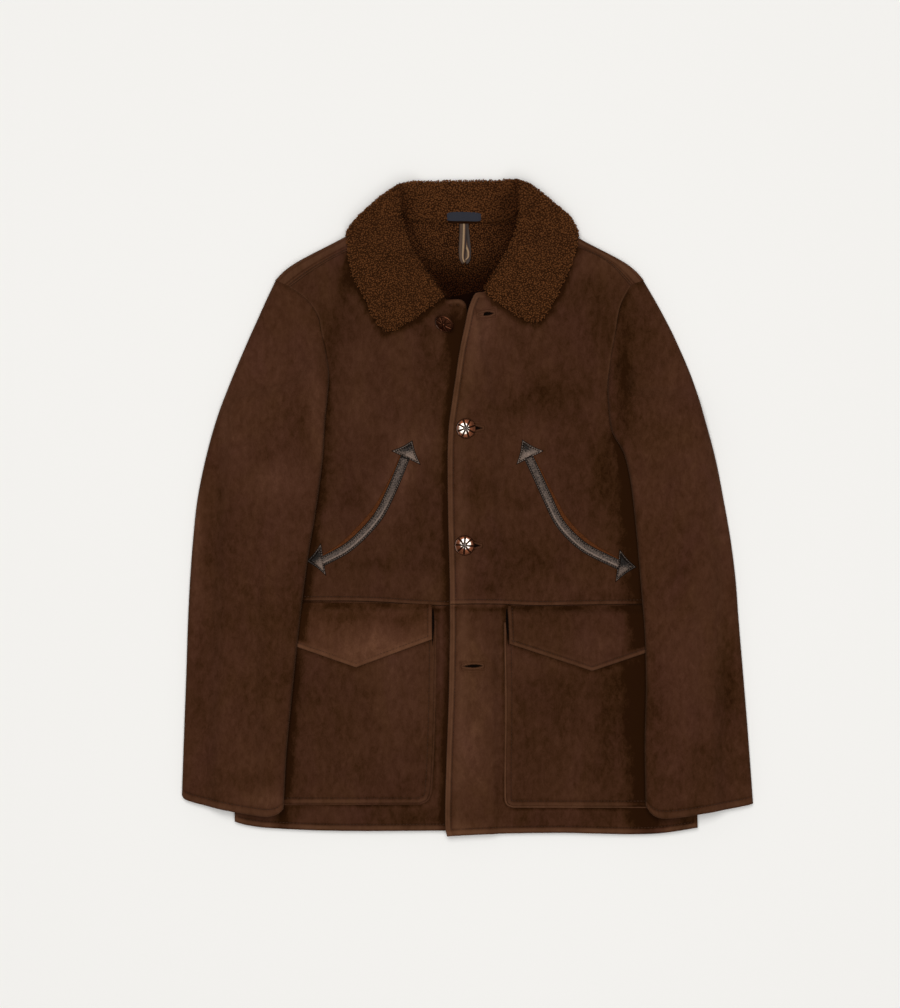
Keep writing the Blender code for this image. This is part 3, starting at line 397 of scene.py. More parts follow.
def hollow(x, y):
    """How much painted shade lies on the wool, from 0 to 1: most beside the rolls, in the closing and at the
    neck seam.
    """
    light = 1.0 - 0.97 * step((CLOSING_SHADE_TOP - y) / CLOSING_SHADE_FALL)
    light = light * (1.0 - 0.28 * bell(y - NECK_SEAM_Y, 2.4))
    for at_x, at_y, strength in WOOL_SHADE:
        light = light * (1.0 - strength * bell(x - at_x, WOOL_SHADE_HALF) * bell(y - at_y, WOOL_SHADE_HALF))
    between = np.ones(np.shape(x))
    for side, points in ROLL_SHADE.items():
        at_x, at_y, reach = np.array(points, float).T
        inward = (np.interp(-y, -at_y, at_x) - x) * side
        light = light * (1.0 - (0.53 + 0.07 * side) * bell(inward, np.interp(-y, -at_y, reach)))
        between = between * step(inward / 5.0 + 0.6)
    return (1.0 - light) * between


def mesh_piece(name, points, faces, finishes, slot, replaced=(), which=None, **values):
    """A smooth piece of the coat from points and four-sided faces. Which gives each face its finish's
    number, and each further value is kept on the points as an attribute of that name."""
    mesh = bpy.data.meshes.new(name)
    mesh.from_pydata((np.asarray(points) * MM).tolist(), [], faces.tolist())
    for finish in finishes:
        mesh.materials.append(finish)
    if which is not None:
        mesh.polygons.foreach_set("material_index", which.astype(np.int32))
    for key, value in values.items():
        kept = mesh.attributes.new(key, "FLOAT", "POINT")
        kept.data.foreach_set("value", np.ravel(value).astype(np.float32))
    mesh.shade_smooth()
    mesh.update()
    made = bpy.data.objects.new(name, mesh)
    bpy.context.scene.collection.objects.link(made)
    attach(made, "root")
    if replaced:
        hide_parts(*replaced)
    return made


def grid_faces(rows, columns):
    """The four-sided faces of a grid of points that is stored row by row."""
    index = np.arange(rows * columns).reshape(rows, columns)
    return np.stack([index[:-1, :-1], index[:-1, 1:], index[1:, 1:], index[1:, :-1]], axis=-1).reshape(-1, 4)


def tube_faces(rings, around, turn=1):
    """The faces of a grid whose rows are closed rings. A turn of -1 makes them face the other way."""
    index = np.arange(rings * around).reshape(rings, around)
    after = np.roll(index, -1, axis=1)
    corners = [index[:-1], index[1:], after[1:], after[:-1]]
    if turn < 0:
        corners = corners[:1] + corners[:0:-1]
    return np.stack(corners, axis=-1).reshape(-1, 4)


def repeated(shape, count, points):
    """The faces of one small shape for count copies of it, whose points are stored copy by copy."""
    return (shape[None] + (np.arange(count) * points)[:, None, None]).reshape(-1, 4)


def rounded(distances, radii):
    """How far a border has rolled down: a quarter circle of its own radius along each side."""
    drops = []
    for away, radius in zip(distances, radii):
        short = np.maximum(radius - away, 0.0)
        drops.append(radius - np.sqrt(np.maximum(radius * radius - short**2, 0.0)))
    return np.max(drops, axis=0)


def panel(name, grid, low, high, finishes, slot, radii=(2.6,) * 4, replaced=(), rub=None):
    """A closed skin over a grid. The upper and lower sides roll to meet in a narrow wall along the border,
    whose upper part takes the first finish and whose lower part, with the underside, the last."""
    over, down = np.diff(grid, axis=1)[:-1], np.diff(grid, axis=0)[:, :-1]
    if (over[..., 0] * down[..., 1] - over[..., 1] * down[..., 0]).sum() < 0:
        grid, low, high = grid[::-1], low[::-1], high[::-1]
        radii = (radii[1], radii[0], *radii[2:])
        rub = rub if rub is None else rub[::-1]
    distances = side_distances(grid)
    upper = high - rounded(distances, radii)
    under = low + rounded(distances, [0.6 * r for r in radii])
    rows, columns = upper.shape
    count = rows * columns
    index = np.arange(count).reshape(rows, columns)
    ring = np.concatenate([index[0, :-1], index[:-1, -1], index[-1, :0:-1], index[:0:-1, 0]])
    after = np.roll(ring, -1)
    flat = grid.reshape(-1, 2)
    middle = under.ravel()[ring] + PILE_DEEP * (upper.ravel() - under.ravel())[ring]
    points = np.vstack([np.c_[flat, upper.ravel()], np.c_[flat, under.ravel()], np.c_[flat[ring], middle]])
    waist = 2 * count + np.arange(len(ring))
    waist_after = np.roll(waist, -1)
    skin = grid_faces(rows, columns)
    faces = np.vstack([
        skin,
        np.stack([after, ring, waist, waist_after], axis=-1),
        np.stack([waist_after, waist, ring + count, after + count], axis=-1),
        skin[:, ::-1] + count,
    ])
    which = np.zeros(len(faces), int)
    which[len(skin) + len(ring) :] = len(finishes) - 1
    tone = brushed(points[:, 0], points[:, 1])
    # Wear and painted light and shade on the upper side; none on the underside.
    rubbed = np.zeros(len(points))
    if rub is not None:
        rubbed[:count] = rub.ravel()
    return mesh_piece(name, points, faces, finishes, slot, replaced, which, nap=tone, rub=rubbed)


def scaled(colour, factor):
    """A colour made lighter or darker."""
    return tuple(factor * c for c in colour)


SUEDE_BROWNS = (  # the ramp: place, colour
    (0.00, (0.0190, 0.0062, 0.0017)), (0.16, (0.0340, 0.0123, 0.0044)), (0.35, (0.0500, 0.0185, 0.0086)),
    (0.60, (0.0685, 0.0268, 0.0137)), (1.00, (0.1140, 0.0480, 0.0262)),
)
# The warm light brown of worn edges and of painted highlights on ridges.
SUEDE_WORN = (0.118, 0.052, 0.026)


def suede(name, shift, tone=1.0):
    """Napped skin: four sizes of noise and the tone of brushing and painted light pick a brown from a ramp,
    which slower noise turns a little towards olive or plum. Worn edges and painted highlights on ridges
    (above 0) turn towards a warm light brown, and painted shade in grooves and beside the parts that lie on
    the skin (below 0) towards the ramp's dark end. The finest two noises are also the bump."""
    skin = Finish(name, Roughness=1.0, Specular_IOR_Level=0.02, Sheen_Weight=0.06, Sheen_Roughness=0.5,
                  Sheen_Tint=(0.70, 0.42, 0.25, 1.0))
    moved = skin.node("ShaderNodeMapping", Vector=skin.where, Location=shift, Scale=(1.0, 0.55, 1.0))
    skin.where = moved.outputs["Vector"]
    rub = skin.attribute("rub")
    # Below 0 the value is painted shade: in grooves and beside the parts that lie on the skin.
    sunk = skin.node("ShaderNodeMath", {"operation": "MINIMUM"}, i0=rub, i1=0.0).outputs[0]
    grain = skin.noise(900.0, 3.0, Roughness=0.7)
    fleck = skin.noise(160.0, 4.0, Roughness=0.65, Distortion=0.4)
    cloud = skin.noise(34.0, 5.0, Roughness=0.7, Distortion=1.2)
    mix = skin.times(skin.noise(11.0, 3.0, Distortion=0.5), 0.42, -0.62)
    parts = ((cloud, 0.42), (fleck, 0.72), (skin.attribute("nap"), 0.34), (grain, 0.40), (sunk, 0.45))
    for part, share in parts:
        mix = skin.times(part, share, mix)
    brown = skin.ramp(mix, [(place, scaled(colour, tone)) for place, colour in SUEDE_BROWNS])
    slow = skin.times(skin.noise(15.0, 3.0, Roughness=0.6, Distortion=0.8), 2.4, -0.7)
    hue = skin.blend(slow, (1.0, 1.035, 0.91), (1.0, 0.975, 1.09))
    patchy = skin.times(rub, skin.times(cloud, 1.5, -0.1), 0.0, True)
    worn = skin.blend(patchy, skin.blend(1.0, brown, hue, "MULTIPLY"), scaled(SUEDE_WORN, tone))
    return skin.finished(worn, skin.times(fleck, 0.5, skin.times(grain, 0.5)), 0.5, 0.0004)


def wool(name, dark, light):
    """Curly pile. Each curl's own tint and the height along it mix a dark and a light brown, over fine noise.
    Where the points' value is below 0, painted shade lies on the wool and turns it towards a near black red
    brown."""
    pile = Finish(name, Roughness=1.0, Specular_IOR_Level=0.03, Sheen_Weight=0.06, Sheen_Roughness=0.5,
                  Sheen_Tint=(0.7, 0.38, 0.18, 1.0))
    strands = pile.noise(1300.0, 2.0)
    share = pile.times(pile.noise(45.0, 3.0), 0.45, pile.times(strands, 0.5, -0.37))
    share = pile.times(pile.attribute("tint"), 1.0, share, True)
    deep = pile.times(pile.attribute("rub"), -1.0, 0.0, True)
    shaded = pile.blend(deep, pile.blend(share, dark, light), (0.20, 0.12, 0.06), "MULTIPLY")
    return pile.finished(shaded, strands, 0.6, 0.0005)


THREAD_SIDES = 6
SPINDLE = ((-0.5, 0.5), (0.0, 1.0), (0.5, 0.5))  # a stitch's rings: share of its length, and how fat


def stitches(name, rows, finish, slot, pitch=4.0, long=2.9, thick=0.45):
    """Rows of sewing thread. Each row is a line in space, and each stitch on it a small spindle of three
    rings of six points, laid along the line and fattest in the middle."""
    places, ways = [], []
    for row in rows:
        along = lengths(row)
        at = np.arange(pitch / 2, along[-1] - pitch / 4, pitch)
        ends = [np.stack([np.interp(at + d, along, c) for c in row.T], axis=1) for d in (-1.0, 1.0)]
        places.append((ends[0] + ends[1]) / 2)
        ways.append((ends[1] - ends[0]) / np.linalg.norm(ends[1] - ends[0], axis=1, keepdims=True))
    place, way = np.vstack(places), np.vstack(ways)
    across = np.cross((0.0, 0.0, 1.0), way)
    across /= np.linalg.norm(across, axis=1, keepdims=True)
    up = np.cross(way, across)
    turn = np.arange(THREAD_SIDES) * 2 * np.pi / THREAD_SIDES
    around = np.cos(turn)[None, :, None] * across[:, None] * 1.15 + np.sin(turn)[None, :, None] * up[:, None]
    rings = [(place + way * long * share)[:, None] + thick * fat * around for share, fat in SPINDLE]
    points = np.stack(rings, axis=1).reshape(-1, 3)
    last = 2 * THREAD_SIDES
    caps = [[3, 2, 1, 0], [5, 4, 3, 0]]
    caps += [[last, last + 1, last + 2, last + 3], [last, last + 3, last + 4, last + 5]]
    shape = np.vstack([tube_faces(3, THREAD_SIDES, -1), caps])
    return mesh_piece(name, points, repeated(shape, len(place), 3 * THREAD_SIDES), [finish], slot)


def thread(name, colour):
    """Waxed sewing thread: a twist of fine bands across noise."""
    waxed = Finish(name, Roughness=0.7, Specular_IOR_Level=0.15)
    twist = waxed.noise(2400.0, 1.0)
    return waxed.finished(waxed.blend(twist, scaled(colour, 0.6), scaled(colour, 1.4)), twist, 0.4, 0.0002)


WOOL_DARK, WOOL_LIGHT = (0.020, 0.0058, 0.0016), (0.162, 0.0570, 0.0175)
lining = wool("pressed_wool", (0.017, 0.0055, 0.0017), (0.068, 0.0240, 0.0078))
seam_thread = thread("seam_thread", (0.040, 0.0160, 0.0070))
SEAM_DIP = 0.8  # how deep a row of stitches draws the skin down
GROOVE_DARK = 0.75  # how much painted shade darkens the napped skin for each millimetre that it is drawn down


def upright(line, height):
    """A line in the plane lifted to a height, one number or one for each point."""
    return np.c_[line, np.broadcast_to(height, len(line))]


def back():
    """The panel's grid between neck, sides and hem."""
    top = chain(SHOULDER[-1], BACK_NECK, SHOULDER[1])
    left = np.vstack([SHOULDER[-1][:1], curve(ARMHOLE[-1]), curve(SIDE[-1][:-1] + BACK_HEM[:1])[1:]])
    right = np.vstack([SHOULDER[1][-1:], curve(ARMHOLE[1]), curve(SIDE[1][:-1] + BACK_HEM[-1:])[1:]])
    grid = patch(top, curve(BACK_HEM), left, right, BACK_SPACING)
    x, y = grid[..., 0], grid[..., 1]
    low = lift(x, y)
    skins = [lining, suede("suede_back", (0.3, 0.1, 0.0))]
    # The wool that shows at the neck takes painted shade.
    body = panel("back_skin", grid, low, low + BACK_TOP, skins, "suede", replaced=["back"], rub=-hollow(x, y))


back()


# ---------------------------------------------------------------- fronts
# Two upper fronts and two lower ones, joined by a waist seam. The left front laps over the right one, its
# edge, hem and neck corner turned in and stitched down. A strip of the back comes over each shoulder.

LAP = WALL + 2 * GAP
LAP_CLEAR, LAP_RAMP = 5.0, 14.0
BUMP_REACH, BUMP_RAMP = 46.0, 24.0
BUTTON_THICK = 4.2
HIDDEN_BUTTON = (-1.8, -189.6)
UNDER_X = 22.4  # the edge of the right fronts, under the left ones
FRONT_SPACING, STRIP_SPACING = 4.2, 2.0
WORD = {-1: "right", 1: "left"}
UNDER_EDGE = [
    (-1.8, 246.0), (3.0, 213.6), (14.4, 153.6), (UNDER_X, 96.0), (UNDER_X, -44.4), (UNDER_X, -388.0),
]
WAIST = {
    -1: [(-272.2, -111.0), (-195.0, -111.6), (-117.0, -112.4), (-40.2, -117.0), (UNDER_X, -117.6)],
    1: [(-21.4, -115.6), (27.0, -115.2), (84.6, -117.4), (135.0, -116.6), (208.2, -115.6), (272.8, -114.6)],
}
NECK_FRONT = {
    -1: [(-90.6, 332.4), (-81.0, 312.0), (-67.8, 292.8), (-51.0, 272.4), (-33.0, 255.0), (-24.6, 250.2)],
    1: [(72.6, 336.5), (64.2, 315.6), (54.6, 298.8), (39.0, 277.2), (25.8, 262.6), (18.6, 259.4)],
}
FRONT_EDGE = [
    (18.6, 259.4), (9.6, 258.0), (4.2, 248.4), (0.6, 237.6), (-3.5, 218.4), (-9.7, 188.4), (-14.5, 156.0),
    (-19.3, 123.6), (-22.8, 96.0), (-24.1, 58.8), (-23.4, -14.4), (-21.4, -91.2), (-21.4, -115.6),
]
LOWER_EDGE = [
    (-21.4, -115.6), (-21.4, -152.4), (-22.8, -229.2), (-25.8, -313.2), (-27.0, -381.6), (-24.6, -394.0),
]
HEM = {
    -1: [
        (-279.6, -376.8), (-267.0, -380.4), (-243.0, -384.0), (-165.0, -387.6), (-28.2, -387.6),
        (UNDER_X, -387.6),
    ],
    1: [
        (-24.6, -394.0), (24.6, -391.6), (111.0, -390.2), (159.0, -391.2), (204.6, -391.8), (237.0, -390.0),
        (276.4, -384.0),
    ],
}
EDGE_STITCH = 7.2  # from the turned front edge in to its stitches
# Ridges along the turned front edge: raised, with a painted highlight.
FRONT_RIDGES = ((1.3, 1.7, 0.95), (4.9, 1.6, 1.0), (15.0, 7.0, 0.38))  # distance in, half width, strength
HEM_STITCH, WAIST_STITCH = 7.8, 5.0
STITCH_HALF = 1.1  # half width of the groove along a row of stitches
# Soft folds of the body: start, end, half width and height, a trough if below 0.
BODY_FOLDS = [
    (-168, 190, -120, 236, 16, -1.0), (-60, 215, -18, 120, 16, -1.4), (-40, 240, -8, 170, 9, 0.8),
    (-150, 60, -40, 150, 30, 0.7), (60, 205, 150, 120, 30, 0.8), (168, 150, 140, 60, 18, -0.9),
    (30, 235, 70, 180, 14, -0.8), (-190, -90, -60, -80, 20, -0.5), (60, -88, 200, -80, 20, -0.5),
    (-140, 250, -170, 180, 10, 0.7), (150, 240, 168, 170, 10, 0.7),
]
CLOSING_LINE = [
    (4.2, 250.0), (-3.5, 218.4), (-14.5, 156.0), (-22.8, 96.0), (-24.1, 58.8), (-23.4, -14.4),
    (-21.4, -115.6), (-22.8, -229.2), (-25.8, -313.2), (-27.0, -384.0),
]
# Lines beside which painted shade lies on the napped skin, where the sleeves, the lapped front edge, the
# collar's leaves, the flaps and the pockets shade it: side, how far that reaches, how strong it is, over what
# length it grows from the first point on, and the points.
PRESSED = (
    (-1, 15.0, 1.00, 130.0, [
        (-173.0, 200.0), (-168.0, 163.0), (-168.6, 120.0), (-172.8, 66.0), (-177.0, 30.0), (-190.4, -55.0),
        (-203.0, -156.0), (-216.4, -290.0), (-222.0, -384.0),
    ]),
    (1, 35.0, 1.25, 110.0, [
        (179.0, 86.0), (187.0, 66.0), (195.0, 33.6), (200.4, -10.0), (208.6, -106.0), (213.6, -215.0),
        (212.0, -280.0), (214.0, -384.0),
    ]),
    (-1, 11.0, 1.15, 1.0, CLOSING_LINE),
    (-1, 11.0, 0.95, 1.0, [
        (-144.0, 328.0), (-138.6, 282.0), (-124.2, 253.2), (-109.8, 224.4), (-99.0, 210.0), (-82.2, 216.0),
        (-61.8, 228.0), (-41.4, 242.4), (-25.8, 253.2),
    ]),
    (1, 11.0, 0.95, 1.0, [
        (132.0, 315.0), (124.2, 290.4), (109.8, 259.2), (95.5, 233.5), (82.0, 221.4), (70.2, 225.6),
        (53.4, 234.0), (33.0, 248.4), (18.6, 261.6),
    ]),
    (-1, 7.0, 0.60, 1.0, [(-225.0, -159.6), (-133.8, -191.4), (-42.4, -157.6), (-42.4, -117.0)]),
    (1, 7.0, 0.60, 1.0, [(49.0, -117.0), (50.2, -163.0), (149.4, -195.6), (249.0, -162.0)]),
    (-1, 3.4, 0.70, 1.0, [
        (-36.8, -122.0), (-38.0, -240.0), (-42.2, -338.0), (-46.6, -350.6), (-57.0, -356.4), (-230.0, -358.0),
    ]),
    (1, 3.4, 0.70, 1.0, [
        (43.3, -122.0), (44.6, -240.0), (43.8, -346.0), (47.0, -356.6), (54.0, -360.4), (255.0, -361.0),
    ]),
)
WAVES = (  # long slow waves: how fast along x and along y, start, height
    (0.021, 0.008, 0.3, 0.40), (-0.011, 0.027, 1.9, 0.35), (0.034, -0.019, 4.1, 0.25),
    (0.006, 0.045, 2.6, 0.22),
)


def folded(x, y, table):
    """Soft ridges and troughs along straight lines: a bell across each, dying away at its ends."""
    total = np.zeros(np.shape(x))
    for x0, y0, x1, y1, half, height in table:
        length = np.hypot(x1 - x0, y1 - y0)
        along = ((x - x0) * (x1 - x0) + (y - y0) * (y1 - y0)) / length**2
        away = ((x - x0) * (y1 - y0) - (y - y0) * (x1 - x0)) / length
        total += height * bell(away, half) * step(3 * along + 0.5) * step(3 * (1 - along) + 0.5)
    return total


def drape(x, y):
    """How unevenly the body lies: four long slow waves and its folds."""
    slow = sum(high * np.sin(a * x + b * y + shift) for a, b, shift, high in WAVES)
    return slow + folded(x, y, BODY_FOLDS)


def lap(x, y):
    """How far the left front is raised where it lies over the right one and its hidden button."""
    edge = np.interp(-y, [-p[1] for p in UNDER_EDGE], [p[0] for p in UNDER_EDGE])
    over = LAP * step((edge + LAP_CLEAR + LAP_RAMP - x) / LAP_RAMP)
    away = np.hypot(x - HIDDEN_BUTTON[0], y - HIDDEN_BUTTON[1])
    return over + (BUTTON_THICK + GAP) * step((BUMP_REACH - away) / BUMP_RAMP)


def front_top(x, y, side):
    """The upper side of a front as it would lie if it were quite smooth."""
    return FRONT_TOP + lift(x, y, 1) + (lap(x, y) if side > 0 else 0.0)


def surface(x, y, side):
    """The upper side of a front with its unevenness, which everything sewn on it follows."""
    return front_top(x, y, side) + drape(x, y)


def on_front(line, side, above):
    """A line in the plane laid on a front, at a height above it."""
    return upright(line, surface(line[:, 0], line[:, 1], side) + above)


def pressed(x, y, side):
    """How much painted shade lies beside the lines of one side: most at the line, fading smoothly to its
    reach.
    """
    dark = np.zeros(np.shape(x))
    for at, reach, strength, grow, points in PRESSED:
        if at == side:
            wide = reach * (0.25 + 0.75 * step(np.hypot(x - points[0][0], y - points[0][1]) / grow))
            dark = np.maximum(dark, strength * step(1.0 - line_distance(x, y, np.array(points)) / wide))
    return dark


def stitched(x, y, lines):
    """How far the skin is drawn down by rows of stitches, each a line and its depth."""
    down = np.zeros(np.shape(x))
    for line, dip in lines:
        down = np.maximum(down, dip * bell(line_distance(x, y, line), STITCH_HALF))
    return down


def front_panel(name, side, edges, lines, finish, radii, rub_at):
    """A front between its four edges (top, bottom, outer, inner), drawn down along its stitches, where
    painted shade darkens the grooves. Along the lines given with a strength above 0 it is fuller and lighter,
    a raised ridge with a painted highlight, and along the others darker, a painted shadow; painted shade also
    lies beside the lines where other parts shade it."""
    grid = patch(*edges, FRONT_SPACING)
    x, y = grid[..., 0], grid[..., 1]
    sunk = stitched(x, y, lines)
    high = surface(x, y, side) - sunk
    rub = -GROOVE_DARK * sunk - pressed(x, y, side)
    for line, half, strength in rub_at:
        near = strength * bell(line_distance(x, y, line), half)
        rub = rub + near
        high = high + np.maximum(near, 0.0)
    low = front_top(x, y, side) - WALL
    made = panel(f"{name}_skin", grid, low, high, [finish, lining], "suede", radii, [name], rub)
    return [on_front(line, side, 0.25 - dip) for line, dip in lines]


def shoulder_strip(side, finish):
    """The back's shoulder edge, folded forward on to the front: fine ridges run along it."""
    ridge, seam = curve(SHOULDER[side]), curve(SHOULDER_SEAM[side])
    ends = [np.linspace(ridge[k], seam[k], 9) for k in (0, -1)]
    grid = patch(ridge, seam, *ends, STRIP_SPACING)
    x, y = grid[..., 0], grid[..., 1]
    lines = [(seam + (ridge - seam) * share, dip) for share, dip in ((0.12, 0.6), (0.30, 0.5), (0.80, 0.4))]
    sunk = stitched(x, y, lines)
    high = surface(x, y, side) + 0.5 - sunk
    # Painted shade in the stitch grooves and a painted highlight along the fold; the strip is lighter all
    # over.
    rub = 0.50 - GROOVE_DARK * 1.8 * sunk + 0.15 * bell(side_distances(grid)[0] - 4.0, 3.0)
    radii = (3.2, 0.9, 1.2, 1.2)
    strip = panel(f"shoulder_{WORD[side]}", grid, lift(x, y) + 0.6, high, [finish], "suede", radii,
                  ["back"], rub)
    return on_front(lines[0][0][4:-4], side, 0.15)


def fronts(side):
    """The upper and lower front of one side, with their rows of stitches."""
    waist = curve(WAIST[side])
    upper_waist = waist + (0.0, GAP)
    seam, hem = curve(SHOULDER_SEAM[side]), curve(HEM[side])
    if side > 0:
        seam, waist, upper_waist, hem = seam[::-1], waist[::-1], upper_waist[::-1], hem[::-1]
        edge, down = FRONT_EDGE[:3], [*FRONT_EDGE[2:-1], tuple(upper_waist[-1])]
        closing = curve(LOWER_EDGE)
    else:
        edge = [(-24.6, 250.2), (-8.0, 250.4), UNDER_EDGE[0]]
        down = [*UNDER_EDGE[:4], (UNDER_X, -44.4), tuple(upper_waist[-1])]
        closing = curve([(UNDER_X, -117.6), (UNDER_X, -250.0), (UNDER_X, -387.6)])
    armhole = curve(ARMHOLE[side][1:])
    outer = np.vstack([armhole, curve([SIDE[side][0], SIDE[side][1], upper_waist[0]])[1:]])
    inner = chain(NECK_FRONT[side], edge, down)
    tone = 1.0 if side > 0 else 0.95

    neck_turn = curve(edge)
    topstitch = upper_waist + (0.0, WAIST_STITCH)
    lines = [(topstitch[8:], 0.3)]
    # Lines with a strength above 0 are raised ridges with a painted highlight: above the waist seam, beside
    # the armhole seam, along the turned front edge and round the neck corner.
    rubs = [(upper_waist + (0.0, 1.6), 2.2, 0.45), (armhole[:80] + (-1.6 * side, -0.6), 1.5, 0.45)]
    if side > 0:
        front_edge = respaced(chain(edge, down), np.linspace(0, 1, 240))
        lines.append((offset(front_edge, EDGE_STITCH)[6:-3], 0.5))
        rubs += [(offset(front_edge, away), half, strong) for away, half, strong in FRONT_RIDGES]
    else:
        lines.append((offset(neck_turn, -EDGE_STITCH)[20:-30], 0.8))
        rubs.append((offset(neck_turn, -3.0), 2.6, 0.6))
    upper_finish = suede(f"suede_upper_{WORD[side]}", (0.4 * side, 0.9, 0.1), tone)
    rows = front_panel(
        f"front_upper_{WORD[side]}", side, (seam, upper_waist, outer, inner), lines, upper_finish,
        (1.5, 1.2, 2.0, 1.8), rubs,
    )

    outer = curve([tuple(waist[0]), *SIDE[side][2:]])
    lines = [((hem + (0.0, HEM_STITCH))[3:-2], 0.7)]
    # A raised hem band with a painted highlight, and a wavy painted shadow under the waist seam.
    waved = waist - np.stack([0 * waist[:, 0], 5.5 + 1.6 * np.sin(waist[:, 0] / 13.0)], axis=1)
    rubs = [(hem + (0.0, 3.6), 3.4, 0.85), (waved, 3.2, -0.55)]
    if side > 0:
        lines.append((offset(closing, EDGE_STITCH)[2:-4], 0.5))
        rubs += [(offset(closing, away), half, strong) for away, half, strong in FRONT_RIDGES]
    finish = suede(f"suede_lower_{WORD[side]}", (0.7 * side, 0.2, 0.3), tone)
    rows += front_panel(
        f"front_lower_{WORD[side]}", side, (waist, hem, outer, closing), lines, finish,
        (1.2, 2.6, 2.0, 1.8), rubs,
    )
    rows.append(shoulder_strip(side, upper_finish))
    stitches(f"front_stitches_{WORD[side]}", rows, seam_thread, "suede")
    return upper_finish, finish


fronts(-1)
upper_left_suede, lower_left_suede = fronts(1)


# ---------------------------------------------------------------- sleeves
# Each sleeve is a tube of skin, wool inside, that lies flattened: its inner half on the body, its outer half
# down on the surface. The cuff is turned in and stitched, and the pile shows in its open end.

SLEEVE = {  # each row is one section: the outer end and the inner end of the flattened tube
    -1: (
        (-231.0, 272.4, -176.6, 210.0), (-241.8, 249.6, -170.2, 187.0), (-252.6, 225.6, -166.4, 163.0),
        (-263.4, 201.6, -167.4, 138.0), (-283.8, 153.6, -171.0, 101.0), (-301.8, 105.6, -172.8, 66.0),
        (-315.0, 57.6, -177.0, 30.0), (-324.6, 9.6, -183.0, -12.0), (-329.8, -38.4, -190.4, -55.0),
        (-333.4, -86.4, -197.0, -106.0), (-335.8, -134.4, -203.0, -156.0), (-338.2, -206.4, -210.6, -230.4),
        (-340.6, -270.4, -216.4, -290.0), (-343.2, -345.0, -220.2, -360.0),
    ),
    1: (
        (211.6, 272.2, 179.0, 211.2), (225.0, 249.6, 172.6, 184.0), (238.2, 225.6, 168.4, 153.0),
        (250.2, 201.6, 168.6, 128.0), (270.6, 153.6, 173.0, 92.0), (285.0, 105.6, 187.0, 66.0),
        (298.2, 57.6, 195.0, 33.6), (307.8, 9.6, 200.4, -10.0), (316.2, -38.4, 204.6, -55.0),
        (322.2, -86.4, 208.6, -106.0), (325.8, -134.4, 212.0, -150.0), (331.8, -206.4, 213.6, -215.0),
        (337.0, -270.4, 212.0, -280.0), (343.2, -355.0, 213.2, -356.0),
    ),
}
SLEEVE_THICK, SLEEVE_CROWN = 2 * WALL + 1.2, 2.6
POCKET_THICK, FLAP_THICK = 3.2, 2.6
POCKET_OUTER = {-1: -229.8, 1: 255.0}
POCKET_TOP_Y = -108.0
HEAD_ROWS, HEAD_REACH, SEAM_GAP = 6, 0.2, 0.5  # armhole points and share of the sleeve that follow the seam
CUFF_STITCH, CUFF_ROUND = 8.4, 2.4
CUFF_BOW = {-1: (14.4, 0.35, 12.0), 1: (19.8, 0.8, 14.0)}  # depth, and how it starts outside and ends inside
RISE = {-1: (190.0, 148.0), 1: (172.0, 134.0)}  # the sleeve climbs on to the body between these heights
DROP_REACH, DROP_RAMP = 38.0, 25.0  # it comes down beside the body over these distances
LOW_ARMHOLE_SHIFT = 18.0
SLEEVE_ACROSS, SLEEVE_SPACING = 40, 4.8
SLEEVE_FOLDS = {
    -1: [
        (-322, 70, -232, 28, 15, -1.8), (-300, 118, -215, 92, 17, 1.2), (-205, -60, -275, -20, 16, -1.5),
        (-185, 60, -235, 110, 12, -1.6), (-178, 96, -225, 140, 12, 1.2), (-330, -120, -255, -150, 22, -0.9),
        (-250, -250, -300, -230, 24, 0.8), (-200, 150, -240, 215, 16, 0.9),
    ],
    1: [
        (306, 62, 232, 20, 15, -1.8), (196, 62, 250, 96, 13, -1.8), (212, -66, 280, -24, 16, -1.5),
        (186, 96, 232, 140, 12, 1.2), (180, 118, 215, 165, 10, -1.2), (322, -120, 250, -150, 22, -0.9),
        (300, -236, 240, -250, 24, 0.8), (200, 180, 232, 220, 16, 0.9),
    ],
}


def head_line(side):
    """The armhole seam from the shoulder down to where the sleeve leaves it."""
    return curve(ARMHOLE[side][:HEAD_ROWS])


def distance_inside(points, outline):
    """Distance in from a closed outline, negative outside it: a point is inside if a ray from it crosses
    the outline an odd number of times."""
    away = line_distance(points[:, 0], points[:, 1], np.vstack([outline, outline[:1]]))
    inside = np.zeros(len(points), bool)
    for a, b in zip(outline, np.roll(outline, -1, axis=0)):
        crosses = (a[1] > points[:, 1]) != (b[1] > points[:, 1])
        rise = b[1] - a[1] if abs(b[1] - a[1]) > 1e-9 else 1e-9
        inside ^= crosses & (points[:, 0] < a[0] + (points[:, 1] - a[1]) * (b[0] - a[0]) / rise)
    return np.where(inside, away, -away)


def under_sleeve(x, y, side):
    """What a sleeve rests on over the body: the front, and lower down the pocket and flap too."""
    beyond = (np.abs(x) - abs(POCKET_OUTER[side])) / 22.0
    pocket = step(1.3 - beyond) * step((POCKET_TOP_Y + 36.0 - y) / 30.0)
    return FRONT_TOP + GAP + pocket * (POCKET_THICK + FLAP_THICK + 2 * GAP)


def double_tube(rings):
    """The points and faces of a tube with a wall, from its outer and inner grid of points, its wall closed
    at both ends, and which of the faces aren't on its outer side."""
    stations, around = rings[0].shape[:2]
    count = stations * around
    skin = tube_faces(stations, around)
    rims = []
    for row, turn in ((0, 1), (stations - 1, -1)):
        a = row * around + np.arange(around)
        b = np.roll(a, -1)
        rims.append(np.stack([a, b, b + count, a + count], axis=-1)[:, ::turn])
    faces = np.vstack([skin, skin[:, ::-1] + count, *rims])
    return np.vstack([ring.reshape(-1, 3) for ring in rings]), faces, np.arange(len(faces)) >= len(skin)


